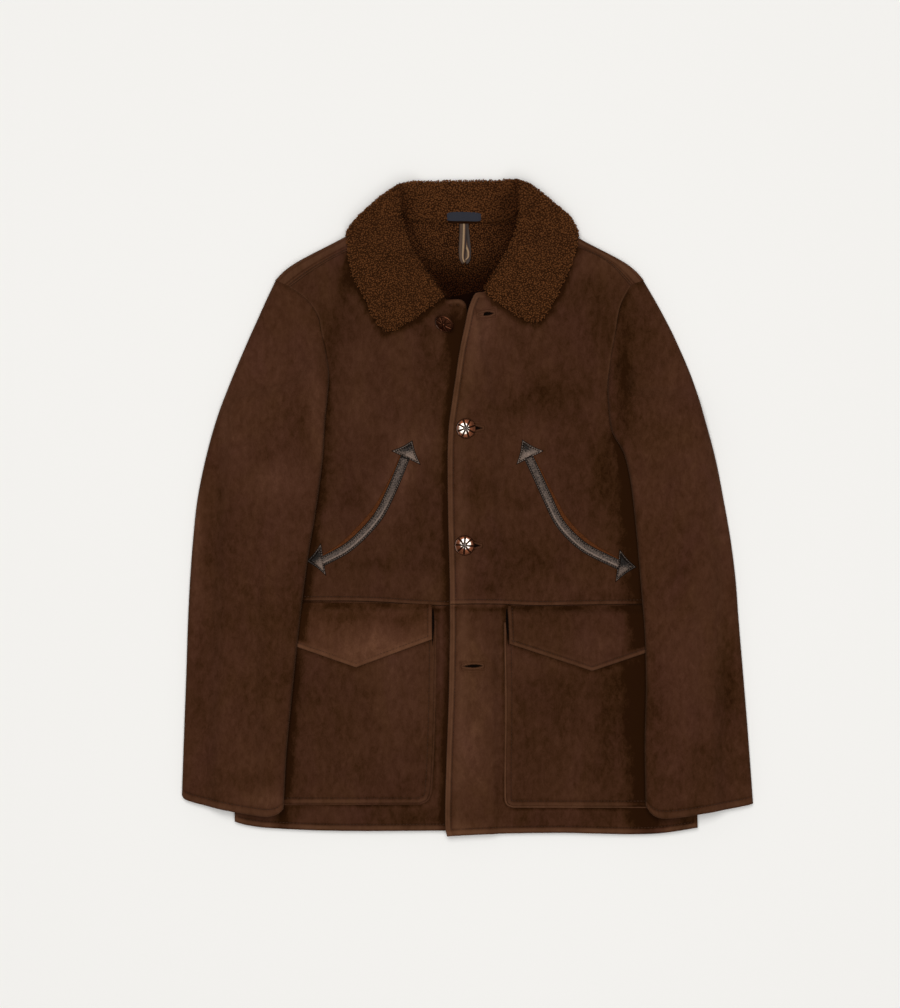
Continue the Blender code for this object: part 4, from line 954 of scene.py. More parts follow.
def sleeve(side):
    """A flattened tube: each section runs between its two ends, bowed at the cuff, and is drawn to the
    armhole seam near the head. Its upper and lower sides are a rounded slab over what carries it, with a
    slight crown, and the pile inside is the same tube set in by the wall."""
    table = np.array(SLEEVE[side])
    ends = [curve(table[:, k : k + 2], 400) for k in (0, 2)]
    length = lengths((ends[0] + ends[1]) / 2)[-1]
    u = shares_of(length, SLEEVE_SPACING)
    outer, inner = (respaced(line, u) for line in ends)
    from_head, from_cuff = u * length, (1.0 - u) * length
    low_armhole = curve(ARMHOLE[side][HEAD_ROWS - 1 :], 40) + (0.0, LOW_ARMHOLE_SHIFT)
    middle = [(0.0, -384.0), (0.0, 270.0)]
    body = np.vstack([head_line(side)[::4], low_armhole, curve(SIDE[side], 40)[1:], middle])
    even = np.linspace(-1.0, 1.0, SLEEVE_ACROSS)
    s = 0.55 * even + 0.45 * np.sin(even * np.pi / 2)
    deep, start, end = CUFF_BOW[side]
    over = (s + 1) / 2
    bow = np.maximum(0.0, (u - 0.7) / 0.3)[:, None] ** 2 * (deep * over**start * (1 - over**end))[None]
    head = np.maximum(0.0, 1.0 - u / HEAD_REACH) ** 2
    seam = offset(head_line(side), SEAM_GAP * -side)
    half = np.linalg.norm(inner - outer, axis=1) / 2
    along = (inner - outer) / (2 * half[:, None])
    sunk = (rounded([from_cuff], [CUFF_ROUND]) + 1.5 * bell(from_head, 1.6))[:, None]
    climb = step((RISE[side][0] - inner[:, 1]) / (RISE[side][0] - RISE[side][1]))[:, None]
    rings = []
    for inset in (0.0, WALL):
        place = s[None] * ((half - inset) / half)[:, None]
        xy = (inner + outer)[:, None] / 2 + along[:, None] * (half[:, None] * place)[..., None]
        at_head = respaced(seam, (s * (half[0] - inset) / half[0] + 1) / 2)
        xy = xy + (at_head - xy[0])[None] * head[:, None, None]
        xy[..., 1] -= bow
        x, y = xy[..., 0], xy[..., 1]
        on_body = step((distance_inside(xy.reshape(-1, 2), body) + DROP_REACH) / DROP_RAMP).reshape(x.shape)
        level = on_body * climb * (under_sleeve(x, y, side) + GAP) + SLEEVE_THICK / 2
        radius = SLEEVE_THICK / 2 - inset
        round_off = np.clip(((np.abs(place) - 1) * half[:, None] + inset + radius) / radius, 0, 1)
        thick = radius * np.sqrt(np.maximum(1 - round_off**2, 0.0))
        crown = SLEEVE_CROWN * (1 - s**2)[None]
        if inset == 0.0:
            slow = sum(high * np.sin(a * x + b * y + shift + side) for a, b, shift, high in WAVES)
            wave = (folded(x, y, SLEEVE_FOLDS[side]) + slow) * (1 - s**4)[None]
            dip = SEAM_DIP * bell(from_cuff - CUFF_STITCH, 1.5)[:, None] * (thick > 3.0)
            high = level + np.maximum(thick - sunk, 0.3) + crown + wave - dip
            low = level - np.maximum(thick - 0.7 * sunk, 0.3)
        else:
            high, low = level + thick + 0.6 * crown, level - thick
        rings.append(np.concatenate([np.dstack([xy, high]), np.dstack([xy, low])[:, -2:0:-1]], axis=1))
    points, faces, which = double_tube(rings)
    if side > 0:
        faces = faces[:, ::-1]
    # A painted highlight along the turned cuff, and painted shade in its stitch groove and beside the armhole
    # seam.
    edge = 0.32 * bell(from_cuff - 3.8, 3.2) - 0.35 * bell(from_cuff - CUFF_STITCH, 1.3)
    edge = edge - 0.4 * bell(from_head, 8.0)
    rub = np.zeros(len(points))
    rub[: len(points) // 2] = np.repeat(edge, rings[0].shape[1])
    word = WORD[side]
    finish = suede(f"suede_sleeve_{word}", (1.1 * side, 0.5, 0.7), 1.03)
    made = mesh_piece(f"sleeve_{word}_skin", points, faces, [finish, lining], "suede", [f"sleeve_{word}"],
                      which, nap=brushed(points[:, 0], points[:, 1]), rub=rub)

    # One row of stitches round the upper side of the cuff.
    k = int(np.argmin(np.abs(from_cuff - CUFF_STITCH)))
    row = rings[0][k, 2 : SLEEVE_ACROSS - 2]
    stitches(f"cuff_stitches_{word}", [row + (0.0, 0.0, 0.2)], seam_thread, "suede")


for side in (-1, 1):
    sleeve(side)


# ---------------------------------------------------------------- collar
# Stand, fall and two leaves in one piece of curly sheepskin, folded along its upper edge with the wool
# outside. The base gives its plush, rounded body, and small wool curls stand close together all over it.

LEAF_THICK = 8.0
CURLS_PROUD = 2.0  # what the curls add to the base
LEAF_OUTER = {
    -1: [
        (-82.2, 388.0), (-100.2, 375.6), (-114.6, 363.6), (-127.8, 351.6), (-138.6, 339.6), (-144.6, 327.6),
        (-138.6, 282.0), (-124.2, 253.2), (-109.8, 224.4), (-99.0, 210.0),
    ],
    1: [
        (75.0, 388.8), (91.8, 375.6), (106.2, 363.6), (120.6, 351.6), (129.0, 339.6), (132.6, 328.8),
        (131.4, 314.4), (124.2, 290.4), (109.8, 259.2), (96.0, 234.0), (89.4, 225.8), (82.0, 221.8),
    ],
}
LEAF_LOWER = {
    -1: [(-99.0, 210.0), (-82.2, 216.0), (-61.8, 228.0), (-41.4, 242.4), (-25.8, 253.2)],
    1: [(82.0, 221.8), (75.6, 222.2), (68.4, 226.0), (53.4, 234.0), (33.0, 248.4), (18.6, 261.6)],
}
ROLL = {
    -1: [(-79.8, 357.6), (-76.2, 337.2), (-65.4, 308.4), (-49.8, 285.6), (-33.0, 265.0), (-25.8, 253.2)],
    1: [(63.0, 366.0), (58.2, 337.2), (49.8, 313.2), (33.0, 283.2), (22.6, 268.0), (18.6, 261.6)],
}
STAND_TOP = [(-82.2, 388.0), (-57.0, 392.0), (-0.6, 393.4), (57.0, 393.6), (75.0, 388.8)]
STAND_LOW = [
    (-79.8, 357.6), (-71.0, 347.6), (-51.0, 343.0), (-0.6, 341.2), (39.0, 342.8), (54.0, 349.0),
    (63.0, 366.0),
]
STAND_HALF, STAND_RAMP = 42.0, 22.0
STAND_HIGH = FRONT_TOP + 2.0
COLLAR_SPACING, FALL_SPACING = 3.0, 4.0
STAND_FOOT_Y = 338.0
EDGE_INSET = 1.4  # the base stops short of the curls' outline
PLUSH_RADIUS = 5.5
LABEL_MIDDLE, LABEL_SIZE = (-4.2, 349.0), (40.8, 11.0)
CURL_RINGS, CURL_SIDES, CURL_TURNS = 6, 4, 1.2
CURL_FAT = np.array([0.8, 1.0, 1.0, 0.97, 0.85, 0.45])  # its thickness from root to tip
# The side of each curl that faces this way is paler: a painted highlight.
CURL_BRIGHT = (-0.3, 0.9, 0.3)  # the way the paler side of a curl faces
CURL_APART, CURL_SIZE, CURL_THICK, CURL_HIGH = 1.98, 0.86, 0.64, 1.15 * CURLS_PROUD
CURLS_FROM = 1.6  # none grows lower than this
CANDIDATES = 14  # random places tried for each curl


def collar_top(x, y):
    """The wool's upper side: low behind the neck, rising to the rolls on both sides of it."""
    rise = step((np.abs(x - NECK_X) - STAND_HALF) / STAND_RAMP)
    leaf = FRONT_TOP + lift(x, y, 2) + GAP + LEAF_THICK
    return np.where(y > STAND_FOOT_Y, STAND_HIGH + (leaf - STAND_HIGH) * rise, leaf)


def scattered(points, faces, spacing, chance):
    """Places all over a surface, none nearer to another than the spacing, with its normals there. Many
    random points on its faces are gone through in turn, and each one kept rules out those near it."""
    a, b, c, d = (points[faces[:, k]] for k in range(4))
    normal = np.cross(c - a, d - b)
    size = np.linalg.norm(normal, axis=1)
    count = int(size.sum() / 2 / spacing**2 * CANDIDATES)
    pick = chance.choice(len(faces), size=count, p=size / size.sum())
    u, v = chance.random((2, count, 1))
    place = (1 - u) * ((1 - v) * a[pick] + v * d[pick]) + u * ((1 - v) * b[pick] + v * c[pick])
    tree = KDTree(count)
    for number, at in enumerate(place):
        tree.insert(at, number)
    tree.balance()
    free = np.ones(count, bool)
    keep = []
    for number in range(count):
        if free[number]:
            keep.append(number)
            free[[near[1] for near in tree.find_range(place[number], spacing)]] = False
    return place[keep], (normal / size[:, None])[pick[keep]]


def unit(ways):
    """The same directions with a length of one."""
    return ways / np.maximum(np.linalg.norm(ways, axis=-1, keepdims=True), 1e-9)


def curls(name, place, normal, size, thick, high, shade, chance):
    """Small curls of wool. Each is a four-sided tube along a spiral that leaves the skin, turns a little
    more than once round a leaning axis and narrows to its tip; its tint rises with it, painted shade deep in
    the pile. The side of each curl that faces one way is paler, a painted highlight, and painted shade
    darkens the curls beside the collar's rolls and in the closing."""
    count = len(place)
    dark = -hollow(place[:, 0], place[:, 1])
    place = place + normal * chance.uniform(-0.7, 0.6, (count, 1))
    axis = unit(normal + chance.normal(0.0, 0.38, (count, 3)))
    first = unit(np.cross(axis, chance.normal(size=(count, 3))))
    second = np.cross(axis, first) * chance.choice([-1.0, 1.0], (count, 1))
    t = np.linspace(0.0, 1.0, CURL_RINGS)[None, :, None]
    angle = 2 * np.pi * CURL_TURNS * t
    radius = size * chance.uniform(0.75, 1.25, (count, 1, 1)) * (1 - 0.3 * t)
    rise = high * chance.uniform(0.6, 1.3, (count, 1, 1)) * t
    turning = np.cos(angle) * first[:, None] + np.sin(angle) * second[:, None]
    middle = place[:, None] + axis[:, None] * rise + radius * turning
    way = unit(np.gradient(middle, axis=1))
    up = unit(np.cross(way, axis[:, None]))
    out = np.cross(way, up)
    corner = (np.arange(CURL_SIDES) * 2 * np.pi / CURL_SIDES)[None, None, :, None]
    around = np.cos(corner) * up[:, :, None] + np.sin(corner) * out[:, :, None]
    points = middle[:, :, None] + thick * CURL_FAT[None, :, None, None] * around
    points[..., 2] = np.maximum(points[..., 2], 0.1)
    outer = turning @ np.array(CURL_BRIGHT)
    tint = (shade + 0.60 * t[..., 0] + 0.12 * outer + chance.normal(0.0, 0.15, (count, 1)))[..., None]
    tint, dark = (np.broadcast_to(value, points.shape[:3]) for value in (tint, dark[:, None, None]))
    k = np.arange(CURL_SIDES)
    shape = np.vstack([tube_faces(CURL_RINGS, CURL_SIDES, -1), k[::-1], k + (CURL_RINGS - 1) * CURL_SIDES])
    faces = repeated(shape, count, CURL_RINGS * CURL_SIDES)
    mesh_piece(name, points.reshape(-1, 3), faces, [wool_curls], "shearling_wool", tint=tint, rub=dark)


def outer_skin(piece, lowest):
    """The points in millimetres and the faces of a piece that look up or outwards above a height."""
    mesh = piece.data
    points = np.empty(len(mesh.vertices) * 3, np.float32)
    faces = np.empty(len(mesh.polygons) * 4, np.int32)
    mesh.vertices.foreach_get("co", points)
    mesh.polygons.foreach_get("vertices", faces)
    points, faces = points.reshape(-1, 3).astype(float) / MM, faces.reshape(-1, 4)
    a, b, c, d = (points[faces[:, k]] for k in range(4))
    middle = points[faces].mean(axis=1)
    return points, faces[(unit(np.cross(c - a, d - b))[:, 2] > -0.2) & (middle[:, 2] > lowest)]


def under_label(x, y):
    """True where the label lies on the wool."""
    half_wide, half_high = LABEL_SIZE[0] / 2 - 0.8, LABEL_SIZE[1] / 2 - 0.8
    return (np.abs(x - LABEL_MIDDLE[0]) < half_wide) & (np.abs(y - LABEL_MIDDLE[1]) < half_high)


wool_curls = wool("wool_curls", WOOL_DARK, WOOL_LIGHT)
wool_base = wool("wool_base", (0.026, 0.0086, 0.0026), (0.080, 0.0280, 0.0086))


def collar():
    """The base between outline and neck, the fall under the back, and the curls in three pieces."""
    outline = offset(chain(LEAF_OUTER[-1][::-1], STAND_TOP, LEAF_OUTER[1]), -EDGE_INSET)
    neck = offset(chain(ROLL[-1][::-1], STAND_LOW, ROLL[1]), EDGE_INSET)
    low_right = offset(curve(LEAF_LOWER[-1]), EDGE_INSET)
    low_left = offset(curve(LEAF_LOWER[1]), -EDGE_INSET)
    grid = patch(outline, neck, low_right, low_left, COLLAR_SPACING)
    x, y = grid[..., 0], grid[..., 1]
    high = collar_top(x, y) - CURLS_PROUD
    high = high + 0.5 * np.sin(0.11 * x + 0.05 * y) * np.sin(0.07 * y - 0.04 * x + 1.0)
    ridge = chain(SHOULDER[-1], BACK_NECK, SHOULDER[1])
    beyond = y - np.interp(x, ridge[:, 0], ridge[:, 1])
    rest = np.where(x < 0.0, front_top(x, y, -1), front_top(x, y, 1)) + GAP + lift(x, y, 1) - lift(x, y)
    rest = rest + (0.4 - rest) * step((beyond - 0.5) / 2.5)
    low = np.minimum(rest, high - 3.0)
    middle_shares = step((np.abs(x[-1] - NECK_X) - STAND_HALF + 14.0) / STAND_RAMP)[None]
    neck_radius = 1.6 + (PLUSH_RADIUS - 1.6) * middle_shares
    radii = (PLUSH_RADIUS, neck_radius, PLUSH_RADIUS, PLUSH_RADIUS)
    # Painted shade lies on the wool beside the rolls and in the closing.
    base = panel("collar_base", grid, low, high, [wool_base], "shearling_wool", radii, ["collar"],
                 -hollow(x, y))

    ends = [(-143.0, 328.6), *LEAF_OUTER[-1][4:0:-1]], [*LEAF_OUTER[1][1:5], (130.6, 329.6)]
    top = respaced(chain(ends[0], STAND_TOP, ends[1]), np.linspace(0, 1, 120)) * (0.985, 1.0) - (0.0, 2.0)
    foot = np.c_[top[:, 0], np.minimum(fall_edge(top[:, 0]) + 4.0, top[:, 1] - 2.0)]
    grid = patch(top, foot, np.linspace(top[0], foot[0], 9), np.linspace(top[-1], foot[-1], 9), FALL_SPACING)
    zero = np.zeros(grid.shape[:2])
    fall = panel("collar_fall", grid, zero, zero + WALL - 0.6, [wool_base, lining], "shearling_wool",
                 replaced=["collar"])

    chance = np.random.default_rng(11)
    place, normal = scattered(*outer_skin(base, CURLS_FROM), CURL_APART, chance)
    free = ~under_label(place[:, 0], place[:, 1])
    place, normal = place[free], normal[free]
    behind = (place[:, 1] > STAND_FOOT_Y) & (np.abs(place[:, 0] - NECK_X) < STAND_HALF + STAND_RAMP)
    for name, chosen, shade in (
        ("curls_right", ~behind & (place[:, 0] < NECK_X), 0.20),
        ("curls_left", ~behind & (place[:, 0] >= NECK_X), 0.25),
        ("curls_stand", behind, 0.37),
    ):
        curls(name, place[chosen], normal[chosen], CURL_SIZE, CURL_THICK, CURL_HIGH, shade, chance)


collar()


# ---------------------------------------------------------------- neck lining
# Between the rolls the back's wool shows below the neck seam. It is shorter and closer than the collar's,
# and painted shade makes it darkest down in the closing.

LOOP_RIGHT, LOOP_LEFT, LOOP_FOOT = -11.6, 3.4, 294.0
SHORT_APART, SHORT_SIZE, SHORT_THICK, SHORT_HIGH = 1.95, 0.81, 0.60, 1.4  # its curls


def neck_wool():
    """Short curls over the part of the back that the collar leaves open."""
    rolls = [curve(ROLL[side]) for side in (-1, 1)]
    foot = np.linspace(rolls[0][-1], rolls[1][-1] - (0.0, 4.0), 40)
    grid = patch(curve(STAND_LOW) - (0.0, 1.0), foot, *rolls, FALL_SPACING)
    x, y = grid[..., 0], grid[..., 1]
    points = np.c_[grid.reshape(-1, 2), (lift(x, y) + BACK_TOP).ravel()]
    faces = grid_faces(*grid.shape[:2])[:, ::-1]
    chance = np.random.default_rng(12)
    place, normal = scattered(points, faces, SHORT_APART, chance)
    normal = normal * np.sign(normal[:, 2:])
    x, y = place[:, 0], place[:, 1]
    covered = (x > LOOP_RIGHT + 1.5) & (x < LOOP_LEFT - 1.5) & (y > LOOP_FOOT + 3.0)
    place, normal = place[~covered], normal[~covered]
    curls("curls_neck", place, normal, SHORT_SIZE, SHORT_THICK, SHORT_HIGH, 0.22, chance)


neck_wool()


# ---------------------------------------------------------------- chest pockets
# A patch of suede on each lower front, folded over a bellows edge and stitched down inside its rim. Its
# mouth is open at the top under the flap, where a near-black sheet of painted shadow stands for the slit
# beside the flap's free edge.

WELT = {
    -1: [(-74.2, 62.6), (-89.4, 25.2), (-106.2, -8.4), (-127.8, -33.6), (-148.2, -50.4), (-177.0, -65.4)],
    1: [
        (72.6, 63.0), (83.4, 39.6), (95.4, 13.2), (108.6, -14.4), (123.0, -32.4), (143.4, -49.2),
        (183.0, -68.8),
    ],
}
WELT_WIDTH, WELT_COLUMNS = 11.8, 25
WELT_HIGH = 1.15  # how high its flat border lies, with a crown and an edge on top
LIP_WIDEST, LIP_NARROWEST, LIP_COLUMNS = 4.0, 0.9, 9
DARK_STITCH = (2.9, 1.5, 1.0)  # pitch, length and thickness
WELT_DIVE = 3.0  # each end thins over this length, to pass under its arrowhead
# Each arrowhead's painted light and shade at its base and its tip: the lower ones lie in painted shade from
# the sleeves.
ARROWHEADS = (  # node, side, tip, two ends of its base, how light it is at the base and at the tip
    ("arrowhead_right_upper", -1, (-66.6, 80.4), (-90.4, 68.4), (-57.2, 52.8), 0.12, 0.00),
    ("arrowhead_right_lower", -1, (-192.4, -63.6), (-176.2, -43.4), (-170.4, -80.2), 0.05, -0.35),
    ("arrowhead_left_upper", 1, (66.0, 81.4), (59.4, 53.0), (90.4, 68.4), 0.20, 0.00),
    ("arrowhead_left_lower", 1, (202.0, -70.8), (178.2, -88.0), (183.0, -50.6), -0.05, -0.25),
)
ARROW_RINGS, ARROW_AROUND = 30, 32  # rings from rim to middle, and points along each of three sides
ARROW_ROW = 0.22  # the row of stitches' share of the way in
ARROW_LIGHT = (0.3, -0.95)  # the way that the padded middle's painted highlight faces


def leather(name, dark, light, rough, grain, shine):
    """Grained leather: rounded cells of a Voronoi pattern are the grain, whose creases are darker and
    deeper, over soft noise that varies the colour and the gloss."""
    hide = Finish(name, Roughness=rough, Specular_IOR_Level=shine)
    cells = hide.node("ShaderNodeTexVoronoi", {"feature": "SMOOTH_F1"}, Vector=hide.where, Scale=grain)
    cells = cells.outputs["Distance"]
    cloud, rub = hide.noise(170.0, 7.0, Roughness=0.75), hide.attribute("rub")
    share = hide.times(cloud, 0.3, hide.times(hide.noise(800.0, 2.0), 1.25, -0.38))
    # The points' values add painted highlight and shade, and where the shade is deepest the leather is
    # rougher too.
    share = hide.times(rub, 1.0, hide.times(cells, -0.35, share), True)
    dull = hide.times(rub, -1.0, -0.4, True)
    hide.put(hide.times(dull, 0.6, hide.times(cloud, 0.3, rough - 0.15)), hide.shader.inputs["Roughness"])
    return hide.finished(hide.blend(share, dark, light), cells, 0.55, 0.0004, invert=True)


grained = leather("grained_leather_dark", (0.0050, 0.0026, 0.0014), (0.280, 0.202, 0.160), 0.46, 1500.0, 0.11)
tan = leather("tan_lip_leather", (0.050, 0.0135, 0.0036), (0.165, 0.0530, 0.0145), 0.8, 1800.0, 0.05)
dark_thread = thread("dark_thread", (0.0040, 0.0022, 0.0014))


def normals_of(line):
    """The directions to a line's own left, each one long."""
    way = unit(np.gradient(line, axis=0))
    return np.stack([-way[:, 1], way[:, 0]], axis=1)


def ribbon(line, low, high, columns):
    """A grid along a line between two distances to its left, each one number or one a point."""
    share = np.linspace(0.0, 1.0, columns)[None, :, None]
    low, high = (np.broadcast_to(reach, len(line))[:, None, None] for reach in (low, high))
    return line[:, None] + normals_of(line)[:, None] * (low * (1 - share) + high * share)


def welt(side):
    """The strip: turned edges, a dip along each row of stitches, and a padded crown between them. Beside it
    lies the lip, a bulge that is widest in the middle."""
    line = curve(WELT[side], 90)
    half, word = WELT_WIDTH / 2, WORD[side]
    grid = ribbon(line, -half, half, WELT_COLUMNS)
    x, y = grid[..., 0], grid[..., 1]
    a = np.linspace(-1.0, 1.0, WELT_COLUMNS)[None]
    out = np.abs(a)
    crown = np.maximum(1 - (a / 0.70) ** 2, 0.0) ** 0.7
    under = surface(x, y, side) + GAP
    along = lengths(line)[:, None]
    dive = step(np.minimum(along, along[-1] - along) / WELT_DIVE)
    high = under + (WELT_HIGH + crown + 0.45 * bell(out - 0.82, 0.09) - 0.25 * bell(out - 0.70, 0.06)) * dive
    # A painted highlight along one side of the crown, from a fifth of the way on, and on the turned edges;
    # painted shade in the stitch dips; a dark painted shadow round the border and at both ends, where they
    # pass under the arrowheads.
    lit = step((along / along[-1] - 0.2) / 0.3)
    rub = 0.50 * lit * bell(a * side + 0.30, 0.13) - 0.14 * bell(out - 0.68, 0.08)
    rub = rub + 0.14 * bell(out - 0.82, 0.06) - 1.5 * step((out - 0.87) / 0.06)
    rub = rub - 0.6 * step((WELT_DIVE + 1.0 - along) / 1.5)
    strip = panel(f"welt_strip_{word}", grid, under, high, [grained], "grained_leather", (0.4, 0.4, 0.8, 0.8),
                  [f"welt_{word}"], rub)
    rows = [on_front(line + normals_of(line) * half * a, side, GAP + WELT_HIGH) for a in (-0.70, 0.70)]
    stitches(f"welt_stitches_{word}", rows, dark_thread, "grained_leather", *DARK_STITCH)

    share = np.linspace(0.0, 1.0, 90)
    width = LIP_NARROWEST + LIP_WIDEST * np.sin(np.pi * share**1.3) ** 1.5
    grid = ribbon(line, side * (half - 0.4), side * (half + GAP + width), LIP_COLUMNS)[1:-1]
    bulge = 0.7 * np.sin(np.pi * np.linspace(0.0, 1.0, LIP_COLUMNS)[None] ** 0.8)
    high = surface(grid[..., 0], grid[..., 1], side) + GAP + 0.35 + bulge
    lip = panel(f"lip_strip_{word}", grid, high - 0.9, high, [tan], "tan_leather", (0.2, 0.2, 0.2, 0.5),
                [f"lip_{word}"])


def arrowhead(name, side, tip, base_a, base_b, base_light, tip_light):
    """A leather triangle with slightly hollow sides. Rings run from its rim to its middle: a turned edge,
    a stitched dip, a flat border and a raised, padded centre."""
    corners = np.array([tip, base_a, base_b], float)
    middle = corners.mean(axis=0)
    corners = middle + (corners - middle) * 1.07
    share = np.linspace(0.0, 1.0, ARROW_AROUND, endpoint=False)[:, None]
    rim = []
    for dent, a, b in zip((0.12, 0.0, 0.12), corners, np.roll(corners, -1, axis=0)):
        edge = a + (b - a) * share
        rim.append(edge + (middle - edge) * dent * np.sin(np.pi * share))
    rim = np.vstack(rim)
    first, second = corners[1] - corners[0], corners[2] - corners[0]
    if first[0] * second[1] < first[1] * second[0]:
        rim = rim[::-1]
    inset = np.linspace(0.0, 1.0, ARROW_RINGS)[:, None, None] ** 1.5
    flat = rim[None] + (middle - rim)[None] * inset
    under = surface(flat[..., 0], flat[..., 1], side) + GAP
    s = inset[..., 0]
    high = 1.3 * (1 - np.exp(-s / 0.025)) - 0.3 * bell(s - ARROW_ROW, 0.05)
    high = high + 0.8 * step((s - 0.26) / 0.20) + 0.8 * step((s - 0.4) / 0.6)
    points = np.vstack([np.dstack([flat[:1], under[:1] - 0.1]), np.dstack([flat, under + high])])
    foot = corners[1:].mean(axis=0)
    ahead = (corners[0] - foot) / np.sum((corners[0] - foot) ** 2)
    share = np.clip((flat - foot) @ ahead, 0.0, 1.0)
    # Painted light: the padded middle lighter towards one way and darker away from it, a highlight on the
    # turned rim, shade in the stitch row, a dark painted shadow round the outside, and each arrowhead's own
    # light from base to tip.
    facing = unit(flat - middle + 1e-6) @ np.array(ARROW_LIGHT)
    rub = 0.24 * bell(s - 0.14, 0.05) - 0.20 * bell(s - ARROW_ROW, 0.04)
    rub = rub - 1.6 * step((0.11 - s) / 0.05)
    rub = rub + 0.32 * facing * step((s - 0.24) / 0.08) * step((1.0 - s) / 0.3)
    rub = rub + base_light + (tip_light - base_light) * step(share / 0.8)
    rub = np.r_[np.zeros(len(rim)), rub.ravel()]
    faces = tube_faces(ARROW_RINGS + 1, len(rim), -1)
    mesh_piece(f"{name}_leather", points.reshape(-1, 3), faces, [grained], "grained_leather", [name], rub=rub)
    row = rim + (middle - rim) * ARROW_ROW
    row = on_front(np.vstack([row, row[:1]]), side, GAP + 0.95)
    stitches(f"{name}_stitches", [row], dark_thread, "grained_leather", *DARK_STITCH)


for side in (-1, 1):
    welt(side)
for arrow in ARROWHEADS:
    arrowhead(*arrow)


# ---------------------------------------------------------------- buttonholes
# Four bound slits in the left front, worked with two suede lips: two hold buttons, and the top and bottom
# ones are empty. A bar closes the outer end of each.

# Name, the slit's two ends, half its opening (below 0 if a button holds it open), how deep its frame's
# groove is, and the panel's finish.
BUTTONHOLES = (
    ("buttonhole_1", (13.2, 232.0), (31.2, 233.8), 2.0, 0.35, upper_left_suede),
    ("buttonhole_2", (-4.0, 96.0), (18.0, 95.8), -2.3, 0.25, upper_left_suede),
    ("buttonhole_3", (-6.0, -44.6), (15.6, -45.2), -2.4, 0.25, upper_left_suede),
    ("buttonhole_4", (-5.4, -189.6), (17.6, -189.0), 1.7, 0.55, lower_left_suede),
)
HOLE_SPACING, HOLE_MARGIN, HOLE_HALF = 0.45, 6.5, 9.5
FRAME_AHEAD, FRAME_HALF = 2.2, 5.2


def slit_inside():
    """Painted shadow for the depth of a slit: nearly black and barely mottled."""
    deep = Finish("slit_inside", Roughness=1.0, Specular_IOR_Level=0.05)
    mottled = deep.blend(deep.noise(500.0, 3.0), (0.0008, 0.0003, 0.0001), (0.0050, 0.0020, 0.0007))
    return deep.finished(mottled)


def buttonhole(name, inner, outer, half, frame_deep, finish):
    """A fine patch that continues the panel: the skin sinks into an almond slit between two raised lips,
    with a shallow rectangular groove round them. Its border dives under the panel's own skin."""
    inner, outer = np.array(inner), np.array(outer)
    length = np.linalg.norm(outer - inner)
    way = (outer - inner) / length
    u = np.arange(-HOLE_MARGIN, length + HOLE_MARGIN, HOLE_SPACING)
    v = np.arange(-HOLE_HALF, HOLE_HALF + HOLE_SPACING, HOLE_SPACING)
    v, u = np.meshgrid(v, u, indexing="ij")
    x = inner[0] + u * way[0] - v * way[1]
    y = inner[1] + u * way[1] + v * way[0]
    share = np.clip(u / length, 0.0, 1.0)
    if half > 0:
        opening = half * np.sin(np.pi * share**1.2) ** 0.8
    else:
        opening = -half * np.minimum((1 - share) / 0.4, 1.0)
    away = np.hypot(np.maximum(np.abs(v) - opening, 0.0), np.maximum(np.maximum(-u, u - length), 0.0))
    lips = 0.7 * bell(away - 1.4, 0.8) * step((length + 1.5 - u) / 2.0) + 0.9 * bell(away, 4.2)
    slit = bell(away, 0.55)
    box = np.maximum(np.abs(u - length / 2) - length / 2 - FRAME_AHEAD, np.abs(v) - FRAME_HALF)
    groove = frame_deep * 0.8 * bell(box, 0.6)
    bar = 0.9 * bell(u - length - 1.1, 0.7) * step((3.6 - np.abs(v)) / 1.2)
    settle = step(np.minimum(np.minimum(u - u.min(), u.max() - u), HOLE_HALF - np.abs(v)) / 2.5)
    high = surface(x, y, 1) + 0.35 + (lips + bar - slit - 0.35 * groove) * settle - 1.2 * (1 - settle)
    # A painted highlight on the lips and the bar, painted shade in the frame's groove, in the slit and in a
    # line round the lips; deep in the slit the faces take the near-black painted shadow.
    rub = 0.34 * (lips + bar) - groove - 0.5 * slit - 0.5 * bell(away - 2.9, 0.5)
    faces = grid_faces(*x.shape)
    which = (away < 0.30).ravel()[faces].all(axis=1)
    points = np.dstack([x, y, high]).reshape(-1, 3)
    mesh_piece(name, points, faces, [finish, slot_dark], "suede", which=which, nap=brushed(x, y), rub=rub)


slot_dark = slit_inside()
for hole in BUTTONHOLES:
    buttonhole(*hole)


# ---------------------------------------------------------------- patch pockets
# A patch of suede on each lower front, folded over a bellows edge and stitched down inside its rim. Its
# mouth is open at the top under the flap, where a dark slit shows beside the flap's free edge.

POCKET = {  # inner edge down, outer edge down and mouth
    -1: {
        "inner": [(-36.8, -132.0), (-38.0, -240.0), (-42.2, -338.0), (-46.6, -351.2), (-57.0, -356.6)],
        "outer": [(-229.8, -132.0), (-229.8, -240.0), (-229.8, -356.6)],
        "top": [(-229.8, -132.0), (-133.0, -133.0), (-36.8, -132.0)],
        "slit": [(-41.4, -121.0), (-41.5, -134.0), (-41.6, -150.0), (-41.8, -165.0)],
    },
    1: {
        "inner": [(43.3, -134.4), (44.6, -240.0), (43.8, -347.0), (46.4, -356.6), (54.0, -360.2)],
        "outer": [(255.0, -134.4), (255.0, -240.0), (255.0, -360.2)],
        "top": [(43.3, -134.4), (149.0, -135.4), (255.0, -134.4)],
        "slit": [(46.9, -121.0), (47.5, -134.0), (48.2, -150.0), (48.9, -165.0)],
    },
}
GUSSET_WIDE, POCKET_STITCH = 2.4, 6.2
POCKET_SPACING, GUSSET_COLUMNS = 4.2, 9
POCKET_TOP = 0.8 * POCKET_THICK  # the patch is thinner than its solid, before its edge and fullness
SLIT_HALF = 1.5


